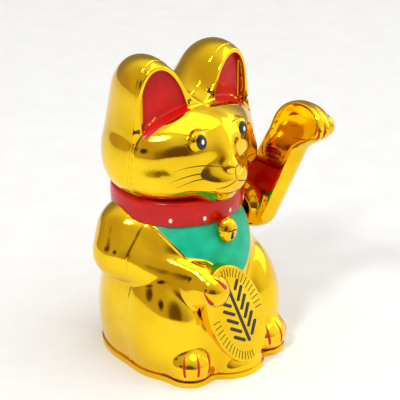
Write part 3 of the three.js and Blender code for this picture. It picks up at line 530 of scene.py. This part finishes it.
# The same plating where enamel is brushed over it: red in the ears, satin green on the bib.
def painted_gold_material():
    material, tree, shader, where = new_material("gold_with_brushed_enamel")
    tint, rough = gold_surface(tree, where, shader)
    colour, red_mask = enamel_over(tree, where, (tint, 0), "ear_paint", RED, RED_DEEP)
    colour, green_mask = enamel_over(tree, where, colour, "bib_paint", "#0CBE98", "#08A884")
    tree.links.new(colour[0].outputs[colour[1]], shader.inputs["Base Color"])
    painted = node(tree, "Math", {"operation": "MAXIMUM"}, {0: (red_mask, 0), 1: (green_mask, 0)}, (-300, 200))
    metal = node(tree, "Math", {"operation": "SUBTRACT", 0: 1.0}, {1: (painted, 0)}, (-150, 200))
    tree.links.new(metal.outputs[0], shader.inputs["Metallic"])
    satin = node(tree, "Math", {"operation": "MULTIPLY", 1: 0.3}, {0: (painted, 0)}, (-150, 50))
    total = node(tree, "Math", {"operation": "ADD"}, {0: (satin, 0), 1: (rough, 0)}, (0, 50))
    tree.links.new(total.outputs[0], shader.inputs["Roughness"])
    shader.inputs["Coat Weight"].default_value = 0.15
    shader.inputs["Coat Roughness"].default_value = 0.03
    shader.inputs["Specular IOR Level"].default_value = 0.2
    return material


def enamel_material(name, colour, shade, roughness=0.25, coat=0.15, scale=180.0):
    """Brushed enamel: an even colour with slight pooling, and a gloss that breaks up a little."""
    material, tree, shader, where = new_material(name)
    pool = node(tree, "TexNoise", {"Scale": scale, "Detail": 3.0}, {0: (where, "Object")}, (-900, 0))
    tone = ramp(tree, (pool, 0), (0.35, linear(shade)), (0.65, linear(colour)), (-600, 0))
    tree.links.new(tone.outputs[0], shader.inputs["Base Color"])
    gloss = node(tree, "MapRange", {"To Min": roughness * 0.8, "To Max": roughness * 1.3}, {0: (pool, 0)},
                 (-600, -250))
    tree.links.new(gloss.outputs[0], shader.inputs["Roughness"])
    bump = node(tree, "Bump", {"Strength": 0.08, "Distance": 0.0006}, {"Height": (pool, 0)}, (-300, -300))
    tree.links.new(bump.outputs[0], shader.inputs["Normal"])
    shader.inputs["Coat Weight"].default_value = coat
    shader.inputs["Specular IOR Level"].default_value = 0.25
    shader.inputs["Coat Roughness"].default_value = 0.06
    return material


def plain_material(name, colour, shade, roughness, metallic=0.0, scale=300.0, bump_strength=0.1):
    """A moulded, drawn or printed surface: two close tones, fine texture, and a roughness that varies."""
    material, tree, shader, where = new_material(name, Metallic=metallic)
    grain = node(tree, "TexNoise", {"Scale": scale, "Detail": 4.0}, {0: (where, "Object")}, (-900, 0))
    tone = ramp(tree, (grain, 0), (0.35, linear(shade)), (0.65, linear(colour)), (-600, 0))
    tree.links.new(tone.outputs[0], shader.inputs["Base Color"])
    vary = node(tree, "MapRange", {"To Min": roughness * 0.8, "To Max": min(1, roughness * 1.2)}, {0: (grain, 0)},
                (-600, -250))
    tree.links.new(vary.outputs[0], shader.inputs["Roughness"])
    bump = node(tree, "Bump", {"Strength": bump_strength, "Distance": 0.0003}, {"Height": (grain, 0)},
                (-300, -300))
    tree.links.new(bump.outputs[0], shader.inputs["Normal"])
    return material


GOLD_PLATING = gold_material()
PAINTED_GOLD = painted_gold_material()
# Thick glossy enamel on the collar: a deep even red with one soft highlight along its band.
RED_ENAMEL = enamel_material("glossy_red_enamel", RED, RED_DEEP)
# The same red brushed thinly on the claws: duller, with a little orange where the plating shows through.
CLAW_RED = enamel_material("brushed_red_enamel", "#C8200C", "#B01808", 0.35, 0.3)
# White enamel: the collar dots, and the painted highlight on each pupil; a warm half-gloss white.
WHITE_ENAMEL = enamel_material("white_enamel", "#F6F1E8", "#E6DFD2", 0.35, 0.3)
# Thick black enamel of the pupils and the leaves: nearly black, with a sharp highlight.
BLACK_ENAMEL = enamel_material("black_enamel", "#15130F", "#0D0C0A", 0.2, 0.7)
# Thin brown enamel from a fine brush: dark strokes without much shine. The same brown is also painted shade: the
# dark of the bell's slot and hole, and of the plaque's engraved strokes.
BROWN_LINE_AND_GROOVE_SHADE = enamel_material("thin_brown_enamel_and_groove_shade", "#2A1804", "#1C1003", 0.4, 0.2)
# Orange enamel of the brows: a stroke only a little darker than the plating.
BROW_LINE = enamel_material("thin_orange_enamel", "#B8600A", "#A04E08", 0.4, 0.2)
# Red-brown enamel of the mouth and nose: warm strokes, darker than the brows.
MOUTH_LINE = enamel_material("thin_red_brown_enamel", "#A83408", "#8E2A06", 0.4, 0.2)
# Injection-moulded ABS, black and white: a soft sheen over a fine mould grain.
BLACK_ABS = plain_material("moulded_black_abs", "#232325", "#18181A", 0.5)
WHITE_ABS = plain_material("moulded_white_abs", "#E9E7E0", "#DAD7CE", 0.45)
# Drawn and stamped steel: a cool grey metal with blurred reflections.
STEEL = plain_material("drawn_steel", "#C2C5C8", "#A6A9AD", 0.3, 1.0)
# Printed plastic sleeve on the cell: an even blue with a moderate gloss.
JACKET = plain_material("printed_cell_jacket", "#23408A", "#1B3374", 0.35)
# Lacquered copper wire: a brown-orange metal, rough from the turns, which are drawn as a grain.
COPPER = plain_material("enamelled_copper_wire", "#B5622C", "#8F4A1E", 0.35, 1.0, 2500.0, 0.6)
# Glass-fibre board under solder mask: a flat dark green.
BOARD = plain_material("solder_masked_board", "#2F6B3C", "#255832", 0.5)
# PVC sleeves of the two leads: plain red and black with a waxy sheen.
RED_PVC = plain_material("red_pvc_sleeve", "#B3191B", "#981315", 0.5)
BLACK_PVC = plain_material("black_pvc_sleeve", "#1A1A1A", "#101010", 0.5)
# Sintered ferrite: a dull charcoal grey.
FERRITE = plain_material("sintered_ferrite", "#3A3B3E", "#2C2D30", 0.6, 0.2)

NODE_MATERIALS = {
    GOLD_PLATING: ["base_plate"],
    BLACK_ABS: ["battery_door", "movement_chassis", "coil_bobbin", "drive_transistor", "switch_knob"],
    WHITE_ABS: ["pendulum_lever"],
    STEEL: ["positive_contact", "negative_spring_contact", "coil_core", "switch_housing", "axle",
            "pendulum_weight", "base_screw_1", "base_screw_2", "base_screw_3", "base_screw_4",
            "chassis_screw_1", "chassis_screw_2"],
    JACKET: ["aa_cell", "capacitor"],
    COPPER: ["coil_winding"],
    BOARD: ["circuit_board"],
    RED_PVC: ["positive_lead"],
    BLACK_PVC: ["negative_lead"],
    FERRITE: ["magnet"],
}
for material, names in NODE_MATERIALS.items():
    for name in names:
        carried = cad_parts[name]
        if not carried.material_slots:
            carried.data.materials.append(material)
        for place in carried.material_slots:
            place.material = material


def dressed(piece, material, body="cat", replaces=()):
    """Gives a piece its material and the body it moves with, and hides the CAD nodes that it stands for."""
    piece.data.materials.append(material)
    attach(piece, body)
    if replaces:
        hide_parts(*replaces)
    return piece


# ---------------------------------------------------------------- body shells
def ear_paint(p):
    """Distance inside the red of the ears: each sunk face, and the strip of the brow in front of it."""
    best = np.full(len(p), -9.0)
    for side, height in EAR_HEIGHTS.items():
        q = p * [side, 1, 1]
        depth = ear_front(q)
        sunk = np.minimum(-ear_egg(EAR_RIM - 0.25, height)(q), -(depth + 0.5))
        on_brow = q - np.outer(depth + 1.0, EAR_FACE_NORMAL)
        brow = np.minimum(-ear_egg(EAR_RIM, height)(on_brow), 2.4 - depth)
        red = np.where(depth < -0.5, sunk, brow)
        best = np.maximum(best, np.where(q[:, 2] > 98, red, -9))
    return best


def bib_paint(p):
    """Distance inside the green of the bib, which stops at the right arm and the haunches."""
    below_collar = np.where(p[:, 2] < COLLAR_Z + 3, 1, -9)
    off_arm = np.minimum(right_arm(p), haunches(p)) - 0.5
    return np.minimum(np.minimum(bib_edge(p) - 0.9, below_collar), off_arm)


rough_body = bmesh.new()
for side in (-1, 1):
    for middle, radii in (HAUNCH, FOOT):
        add_ball(rough_body, [side * middle[0], *middle[1:]], radii)
    add_rough_ear(rough_body, side)
for middle, radii in TORSO + HEAD + [HAND, MUZZLE, CHIN, LAP, PLINTH]:
    add_ball(rough_body, middle, radii)
for piece_of_limb in (UPPER_ARM, FOREARM_TOP, FOREARM_LOW, NOSE_BRIDGE):
    add_limb(rough_body, *piece_of_limb)
body_skin = one_skin(rough_body, "rough_body", 0.9)
sculpt(body_skin, body_form, (14, 10, 10), 0.25)

rear_cut = half_of(body_skin, (0, 0, SHELL_BOTTOM), (0, 0, -1), 0)
front_half = half_of(rear_cut, (0, SEAM_Y, 0), (0, 1, 0))
rear_half = half_of(rear_cut, (0, SEAM_Y, 0), (0, -1, 0))
rear_cut.free()
body_skin.free()
paints = {"ear_paint": ear_paint, "bib_paint": bib_paint}
dressed(finish_skin(front_half, "front_shell_skin", body_form, paints), PAINTED_GOLD,
        replaces=["front_shell"])
dressed(finish_skin(rear_half, "rear_shell_skin", body_form, {}), GOLD_PLATING,
        replaces=["rear_shell"])

# ---------------------------------------------------------------- raised arm
rough_arm = bmesh.new()
for bone in ARM_LIMBS:
    add_limb(rough_arm, *bone)
for middle, radii in ARM_EGGS + [SHOULDER]:
    add_ball(rough_arm, middle, radii)
for toe in toe_places:
    add_ball(rough_arm, toe, TOE_RADII)
arm_skin = one_skin(rough_arm, "rough_arm", 0.7)
sculpt(arm_skin, arm_form, (14, 10, 10), 0.25)
arm_inner = half_of(arm_skin, ARM_SPLIT, ARM_SPLIT_NORMAL)
arm_outer = half_of(arm_skin, ARM_SPLIT, -ARM_SPLIT_NORMAL)
arm_skin.free()
for half, which in ((arm_inner, "inner"), (arm_outer, "outer")):
    dressed(finish_skin(half, f"arm_{which}_skin", arm_form, {}), GOLD_PLATING, "swing_arm",
            [f"arm_{which}_half"])

# ---------------------------------------------------------------- collar
# Its section: radius, and height over the collar's lower edge.
COLLAR_SECTION = [(19.5, 0.3), (28.0, 0.3), (29.0, 1.3), (COLLAR_RADIUS, 6.0), (29.0, 10.7), (28.0, 11.7),
                  (19.5, 11.7)]
collar = bmesh.new()
verts = [collar.verts.new((r * MM, 0, (COLLAR_Z + h) * MM)) for r, h in COLLAR_SECTION]
for i in range(len(verts)):
    collar.edges.new((verts[i], verts[(i + 1) % len(verts)]))
bmesh.ops.bevel(collar, geom=verts[1:6], offset=0.5 * MM, segments=3, profile=0.5, affect="VERTICES", material=-1)
bmesh.ops.spin(collar, geom=collar.verts[:] + collar.edges[:], cent=(0, 0, 0), axis=(0, 0, 1), angle=2 * math.pi,
               steps=160, use_merge=True, use_duplicate=False)
bmesh.ops.translate(collar, vec=(0, COLLAR_MIDDLE_Y * MM, 0), verts=collar.verts)
dressed(closed_piece(collar, "collar"), RED_ENAMEL)

# ---------------------------------------------------------------- plaque
PLAQUE_MIDDLE = Vector((-3.3, -40.2, 28.5))
PLAQUE_HALF = (14.2, 24.4)
PLAQUE_THICK = 6
PLAQUE_LEAN, PLAQUE_ROLL = 0.16, 0.318  # backwards, and its top towards the right paw
PLAQUE_TURN = Matrix.Rotation(-PLAQUE_LEAN, 4, "X") @ Matrix.Rotation(-PLAQUE_ROLL, 4, "Y")
PLAQUE_PLACE = Matrix.Translation(PLAQUE_MIDDLE * MM) @ PLAQUE_TURN
plaque = bmesh.new()
bmesh.ops.create_circle(plaque, cap_ends=True, segments=96, radius=1.0)
bmesh.ops.scale(plaque, vec=(PLAQUE_HALF[0] * MM, PLAQUE_HALF[1] * MM, 1), verts=plaque.verts)
bmesh.ops.rotate(plaque, cent=(0, 0, 0), matrix=Matrix.Rotation(math.pi / 2, 3, "X"), verts=plaque.verts)
back = bmesh.ops.extrude_face_region(plaque, geom=plaque.faces[:])
back_verts = [v for v in back["geom"] if isinstance(v, bmesh.types.BMVert)]
bmesh.ops.translate(plaque, vec=(0, PLAQUE_THICK * MM, 0), verts=back_verts)
bmesh.ops.translate(plaque, vec=(0, -PLAQUE_THICK / 2 * MM, 0), verts=plaque.verts)
bmesh.ops.recalc_face_normals(plaque, faces=plaque.faces)
rims = [e for e in plaque.edges if len(e.link_faces) == 2 and any(len(f.verts) > 4 for f in e.link_faces)]
bmesh.ops.bevel(plaque, geom=rims, offset=0.9 * MM, segments=4, profile=0.5, affect="EDGES", material=-1)
bmesh.ops.transform(plaque, matrix=PLAQUE_PLACE, verts=plaque.verts)
cut_flat(plaque, (0, 0, SHELL_BOTTOM), (0, 0, -1))
dressed(closed_piece(plaque, "plaque"), GOLD_PLATING)

# ---------------------------------------------------------------- painted details
def along(points, shares):
    """Points on a smooth line through a few places, at shares of its length."""
    places = np.array(points, float)
    knots = np.concatenate([[0], np.cumsum(np.linalg.norm(np.diff(places, axis=0), axis=1))])
    knots /= knots[-1]
    if len(places) == 2:
        return places[0] + np.outer(shares, places[1] - places[0])
    fit = [np.polyfit(knots, places[:, k], min(len(places) - 1, 3)) for k in range(3)]
    return np.stack([np.polyval(f, shares) for f in fit], 1)


def brush_line(name, form, points, width, material, body="cat", thick=0.12,
               tips=(0.15, 0.15)):
    """A brushed line of paint that lies on a form, thicker in its middle and narrowing towards its tips."""
    steps = 30
    line = bmesh.new()
    bmesh.ops.create_grid(line, x_segments=steps, y_segments=4, size=0.5)
    flat = np.array([v.co for v in line.verts])
    share, across = flat[:, 0] + 0.5, flat[:, 1] * 2
    centre = settle(form, along(points, share), 6)
    ahead = settle(form, along(points, np.minimum(share + 0.02, 1.02)), 6) - centre
    n = outward(form, centre)
    side = np.cross(n, ahead)
    side /= np.maximum(np.linalg.norm(side, axis=1), 1e-9)[:, None]
    taper = np.clip(share / tips[0] + 0.12, 0, 1) * np.clip((1 - share) / tips[1] + 0.12, 0, 1)
    spread = settle(form, centre + side * (across * taper * width / 2)[:, None], 3)
    n = outward(form, spread)
    top = spread + n * (0.03 + thick * (1 - across ** 2))[:, None]
    return painted_sheet(line, name, top, spread - 0.15 * n, material, body)


def painted_sheet(bm, name, top, below, material, body):
    """Closes a flat grid into a thin film of paint between its top and the surface below."""
    lower_verts, lower_faces = bm.verts[:], bm.faces[:]
    move_points(bm, top)
    bmesh.ops.extrude_face_region(bm, geom=lower_faces, use_keep_orig=True)
    for vert, place in zip(lower_verts, below * MM):
        vert.co = place
    return dressed(closed_piece(bm, name), material, body)


def paint_spot(name, form, centre, radii, material, thick=0.3):
    """An oval drop of paint on the cat that follows the form. Radii are across and upright."""
    spot = bmesh.new()
    bmesh.ops.create_uvsphere(spot, u_segments=32, v_segments=16, radius=1.0)
    ball = np.array([v.co for v in spot.verts])
    middle = settle(form, np.array([centre], float), 12)
    n = outward(form, middle)[0]
    up = np.array([0, 0, 1.0]) - n[2] * n
    up /= np.linalg.norm(up)
    across = np.cross(up, n)
    x = ball[:, 0] * radii[0]
    z = ball[:, 1] * radii[1]
    place = settle(form, middle + np.outer(x, across) + np.outer(z, up), 6)
    move_points(spot, place + outward(form, place) * (ball[:, 2] * thick)[:, None])
    return dressed(closed_piece(spot, name), material)


WHISKERS = [
    [(4.8, -34.3, 94.9), (10, -31, 95.9), (16.2, -27.7, 95.9), (22.5, -24, 94.0)],
    [(9.6, -32.3, 92.9), (15.8, -28, 92.2), (24.2, -23.3, 89.4)],
    [(7.2, -35.3, 91.0), (14.7, -28.8, 89.8), (21.8, -24.8, 86.9)],
]
BROW = [(13.5, -26.5, 109.8), (10, -27.3, 111.2), (6, -27.8, 109.8)]
MOUTH = [(0.2, -38, 89.0), (4.4, -37, 87.3), (8.4, -34.7, 86.3)]
NOSTRIL = [(0, -36.9, 94.4), (1.6, -36.6, 94.9), (3.4, -35.2, 95.6)]
PUPIL_X = 11.3


def on_side(side, places):
    return [(side * x, y, z) for x, y, z in places]


def over_pupil(p):
    return body_form(p) - 0.42


for side, which in ((-1, "right"), (1, "left")):
    paint_spot(which + "_pupil", body_form, (side * PUPIL_X, -28.8, 106.2), (2.5, 3.4), BLACK_ENAMEL, thick=0.5)
    # A white dot on each pupil: a painted highlight.
    paint_spot(which + "_glint", over_pupil, (side * PUPIL_X + 0.3, -29.0, 106.1), (0.75, 1.1), WHITE_ENAMEL,
               thick=0.25)
    brush_line(which + "_brow", body_form, on_side(side, BROW), 0.5, BROW_LINE)
    for k, rise in enumerate((0.0, 1.6, 3.2)):
        lash = [(16.0 - 0.4 * rise, -26, 105.4 + rise), (18.0 - 0.1 * rise, -24.5, 105.8 + 1.5 * rise)]
        brush_line(f"{which}_lash_{k + 1}", body_form, on_side(side, lash), 0.28, BROWN_LINE_AND_GROOVE_SHADE, tips=(0.1, 0.7))
    for k, places in enumerate(WHISKERS):
        brush_line(f"{which}_whisker_{k + 1}", body_form, on_side(side, places), 0.46, BROWN_LINE_AND_GROOVE_SHADE,
                   thick=0.08, tips=(0.25, 0.6))
    for name, places, width in (("_mouth", MOUTH, 0.55), ("_nostril", NOSTRIL, 0.6)):
        brush_line(which + name, body_form, on_side(side, places), width, MOUTH_LINE,
                   tips=(0.1, 0.4))
brush_line("philtrum", body_form, [(0, -36.9, 94.2), (0, -37, 92), (0, -37.9, 89.2)], 0.4, MOUTH_LINE)
brush_line("chin_line", body_form, [(-6.5, -34, 83.4), (0, -36.4, 83.0), (6.5, -34, 83.4)], 0.45, MOUTH_LINE,
           tips=(0.4, 0.4))

CLAWS = {
    "right_foot_claw": [[(-27.0, -36, 15), (-29.0, -39, 5.4)], [(-22.4, -38.6, 15.4), (-24.4, -42, 5.4)],
                        [(-17.0, -38, 15.6), (-19.6, -42, 5.8)]],
    "left_foot_claw": [[(27.0, -36, 15), (28.6, -39, 5.4)], [(22.4, -38.6, 15.4), (22.8, -42, 5.4)],
                       [(17.4, -38, 15.6), (17.0, -42, 5.8)]],
}
for name, rows in CLAWS.items():
    for k, places in enumerate(rows):
        brush_line(f"{name}_{k + 1}", body_form, places, 1.15, CLAW_RED, tips=(0.6, 0.1))
HAND_CLAWS = [[(-10.0, -35.0, 49.2), (-7.2, -38, 46.6)], [(-14.0, -39.2, 47.2), (-11.4, -42, 43.4)],
              [(-17.6, -39, 43.4), (-15.6, -41.4, 38.6)]]
for k, places in enumerate(HAND_CLAWS):
    brush_line(f"right_hand_claw_{k + 1}", body_form, places, 1.9, CLAW_RED, tips=(0.8, 0.1))
for k, x in enumerate((-4.2, 0.0, 4.2)):
    brush_line(f"paw_claw_{k + 1}", arm_form,
               [(PAW[0] + x, -42.0, 103.5), (PAW[0] + x, -43.5, 99.5), (PAW[0] + x, -41.5, 95.5)], 1.1, CLAW_RED,
               "swing_arm", tips=(0.5, 0.3))
brush_line("wrist_line", arm_form, [(37.2, -28.3, 95.3), (36.9, -33.7, 95.8), (37.2, -38.1, 97.0)], 0.6, CLAW_RED,
           "swing_arm", tips=(0.3, 0.3))
brush_line("wrist_patch", arm_form, [(38.4, -23.9, 103.2), (38.7, -26.7, 105.0), (38.5, -29.8, 105.4)], 1.4,
           CLAW_RED, "swing_arm", tips=(0.4, 0.4))


def collar_form(p):
    return np.hypot(p[:, 0], p[:, 1] - COLLAR_MIDDLE_Y) - (COLLAR_RADIUS - 0.05)


for number, degrees in ((3, -45), (4, -16), (5, 11), (6, 39)):
    a = math.radians(degrees)
    dot = (29 * math.sin(a), COLLAR_MIDDLE_Y - 29 * math.cos(a), COLLAR_Z + 3.8)
    paint_spot(f"collar_dot_{number}", collar_form, dot, (0.75, 1.05), WHITE_ENAMEL,
               thick=0.18)

# ---------------------------------------------------------------- bell
BELL = Vector((0, -31.8, 63.9))
BELL_RADII = [4.6, 4.2, 6.1]
bell = bmesh.new()
bmesh.ops.create_uvsphere(bell, u_segments=48, v_segments=32, radius=1.0)
for vert in bell.verts:
    x, y, z = vert.co
    waist = 0.35 * math.exp(-((z - 0.12) / 0.06) ** 2) - 0.25 * math.exp(-((z + 0.02) / 0.08) ** 2)
    slit = 0.5 * math.exp(-((x / 0.12) ** 2)) * (1 if z < -0.1 and y < 0 else 0)
    hole = 0.5 * math.exp(-((x * x + (z + 0.18) ** 2) / 0.03)) * (1 if y < 0 else 0)
    swell = 1 + (waist - slit - hole) * 0.14
    vert.co = (BELL + Vector((x * BELL_RADII[0], y * BELL_RADII[1], z * BELL_RADII[2])) * swell) * MM
dressed(closed_piece(bell, "bell"), GOLD_PLATING)
bell_form = egg(list(BELL), BELL_RADII)
# Dark strokes and a dark spot over the bell's slot, slit and hole: painted shade in its openings.
brush_line("bell_slot_shade", bell_form, [(-2.6, -35, 64.6), (0, -36, 64.9), (2.6, -35, 64.6)], 0.8, BROWN_LINE_AND_GROOVE_SHADE,
           tips=(0.1, 0.1))
brush_line("bell_slit_shade", bell_form, [(0, -36, 64.6), (0, -36, 62.2)], 0.7, BROWN_LINE_AND_GROOVE_SHADE, tips=(0.1, 0.1))
paint_spot("bell_hole_shade", bell_form, (0, -36, 61.4), (0.8, 0.9), BROWN_LINE_AND_GROOVE_SHADE, thick=0.15)

# ---------------------------------------------------------------- plaque decoration: a plain sheaf of leaves
def plaque_bar(x, z, length, width, tilt, proud):
    """A bar with round ends that stands proud of the plaque's face. Its middle is at x and z on the face."""
    bar = bmesh.new()
    bmesh.ops.create_cube(bar, size=1.0)
    bmesh.ops.scale(bar, vec=(width * MM, 0.6 * MM, length * MM), verts=bar.verts)
    upright = [e for e in bar.edges if abs((e.verts[0].co - e.verts[1].co).normalized().y) > 0.9]
    bmesh.ops.bevel(bar, geom=upright, offset=0.42 * width * MM, segments=3, profile=0.5, affect="EDGES",
                    material=-1)
    front = [e for e in bar.edges if all(v.co.y < 0 for v in e.verts)]
    bmesh.ops.bevel(bar, geom=front, offset=0.12 * MM, segments=2, profile=0.5, affect="EDGES", material=-1)
    face_y = -PLAQUE_THICK / 2 + 0.3 - proud
    spot = Matrix.Translation(Vector((x, face_y, z)) * MM) @ Matrix.Rotation(tilt, 4, "Y")
    bmesh.ops.transform(bar, matrix=PLAQUE_PLACE @ spot, verts=bar.verts)
    return bar


def plaque_marks(name, rows, material, proud):
    marks = bmesh.new()
    for x, z, length, width, tilt in rows:
        bar = plaque_bar(x, z, length, width, tilt, proud)
        mesh = bpy.data.meshes.new(name)
        bar.to_mesh(mesh)
        bar.free()
        marks.from_mesh(mesh)
        bpy.data.meshes.remove(mesh)
    return dressed(closed_piece(marks, name, smooth=False), material)


# Each bar is x, z, length, width and tilt: a stem with six pairs of leaves.
sheaf = [(0.6, 0.0, 30, 1.5, 0.0)]
for k in range(6):
    z = 12.5 - 4.6 * k
    spread = 7.2 if k else 5.0
    sheaf.append((-3.7, z, spread, 1.55, -0.72))
    sheaf.append((4.9, z, spread, 1.55, 0.72))
plaque_marks("plaque_sheaf", sheaf, BLACK_ENAMEL, 0.22)
# Short strokes in two arcs along the rim: thin dark bars that stand for engraved strokes, painted shade in place
# of their grooves.
hatch = []
for k in range(15):
    for turn in (math.radians(170 + 7.0 * k), math.radians(-10 + 7.0 * k)):
        x, z = (PLAQUE_HALF[0] - 2.9) * math.cos(turn), (PLAQUE_HALF[1] - 3.4) * math.sin(turn)
        hatch.append((x, z, 3.8, 0.45, math.pi / 2 - turn))
plaque_marks("plaque_hatch_shade", hatch, BROWN_LINE_AND_GROOVE_SHADE, 0.08)

# ---------------------------------------------------------------- floor, light and camera
floor_bm = bmesh.new()
bmesh.ops.create_circle(floor_bm, cap_ends=True, segments=96, radius=1.4)
floor = closed_piece(floor_bm, "pale_table", smooth=False)
# Matt painted board: a flat cool white that takes soft shadows.
FLOOR_WHITE = plain_material("matt_white_board", "#EAEDF3", "#E7EAF0", 0.55, 0.0, 60.0, 0.02)
floor.data.materials.append(FLOOR_WHITE)


def soft_light(name, azimuth, elevation, distance, size, power, colour="#FFFFFF"):
    """A square soft box that faces the cat. Azimuth 0 is in front, and it grows towards +X."""
    light = bpy.data.lights.new(name, "AREA")
    light.shape = "RECTANGLE"
    light.size, light.size_y = size
    light.energy = power
    light.color = linear(colour)[:3]
    holder = bpy.data.objects.new(name, light)
    bpy.context.scene.collection.objects.link(holder)
    a, e = math.radians(azimuth), math.radians(elevation)
    away = Vector((math.sin(a) * math.cos(e), -math.cos(a) * math.cos(e), math.sin(e)))
    target = Vector((0, 0, 0.07))
    holder.location = target + away * distance
    holder.rotation_euler = (-away).to_track_quat("-Z", "Y").to_euler()


soft_light("window", -72, 50, 1.2, (0.16, 0.22), 5)
soft_light("overhead", 20, 75, 1.5, (1.4, 1.4), 7)
soft_light("right_fill", 70, 25, 1.6, (1.2, 1.0), 3)

world = bpy.data.worlds.new("pale_studio")
bpy.context.scene.world = world
world.use_nodes = True
sky = world.node_tree
sky.nodes.clear()
direction = node(sky, "TexCoord", at=(-1400, 0))


def studio_patch(base, azimuth, elevation, inner, outer, colour, at):
    """Lays a soft round patch of the studio's walls over what is there. Inner and outer are degrees across."""
    a, e = math.radians(azimuth), math.radians(elevation)
    to_patch = (math.sin(a) * math.cos(e), -math.cos(a) * math.cos(e), math.sin(e))
    facing = node(sky, "VectorMath", {"operation": "DOT_PRODUCT", 1: to_patch}, {0: (direction, "Generated")},
                  (at, -300))
    edge = {"From Min": math.cos(math.radians(outer)), "From Max": math.cos(math.radians(inner))}
    mask = node(sky, "MapRange", {"interpolation_type": "SMOOTHSTEP", **edge}, {0: (facing, "Value")},
                (at + 150, -300))
    laid = node(sky, "Mix", {"data_type": "RGBA"}, at=(at + 300, 0))
    sky.links.new(mask.outputs[0], laid.inputs[0])
    sky.links.new(base[0].outputs[base[1]], laid.inputs[6])
    laid.inputs[7].default_value = (*colour, 1)
    return laid, 2


axes = node(sky, "SeparateXYZ", links={0: (direction, "Generated")}, at=(-1200, 0))
height = ramp(sky, (axes, 2), (0.1, (0.50, 0.38, 0.24, 1)), (0.85, (0.95, 0.92, 0.85, 1)), (-1000, 0))
walls = (height, 0)
# Azimuth, elevation, inner and outer spread in degrees, and colour.
WALLS = [
    (60, 30, 20, 75, (1.1, 1.08, 1.0)),
    (150, 10, 20, 60, (0.30, 0.28, 0.24)),
    (-100, 20, 15, 50, (0.62, 0.48, 0.30)),
    (-40, 6, 10, 26, (0.15, 0.085, 0.035)),
    (-78, 12, 3, 9, (0.05, 0.03, 0.015)),
    (-108, 14, 3, 12, (0.10, 0.055, 0.02)),
]
for i, (azimuth, elevation, inner, outer, colour) in enumerate(WALLS):
    walls = studio_patch(walls, azimuth, elevation, inner, outer, colour, -700 + 500 * i)
background = node(sky, "Background", {"Strength": 1.0}, at=(2200, 0))
sky.links.new(walls[0].outputs[walls[1]], background.inputs[0])
sky_out = node(sky, "OutputWorld", at=(2400, 0))
sky.links.new(background.outputs[0], sky_out.inputs[0])

CAMERA_AZIMUTH, CAMERA_ELEVATION, CAMERA_DISTANCE = -40.1, 25.1, 0.7
camera_data = bpy.data.cameras.new("studio_camera")
camera_data.sensor_width = 36
camera_data.lens = 144
camera_data.clip_start = 0.01
camera = bpy.data.objects.new("studio_camera", camera_data)
bpy.context.scene.collection.objects.link(camera)
a, e = math.radians(CAMERA_AZIMUTH), math.radians(CAMERA_ELEVATION)
away = Vector((math.sin(a) * math.cos(e), -math.cos(a) * math.cos(e), math.sin(e)))
right = Vector((math.cos(a), math.sin(a), 0))
above = away.cross(right)
aim = Vector((0, 0, 0.060)) + right * 0.0092 + above * 0.0057
camera.location = aim + away * CAMERA_DISTANCE
camera.rotation_euler = away.to_track_quat("Z", "Y").to_euler()
bpy.context.scene.camera = camera
bpy.context.scene.view_settings.view_transform = "Standard"
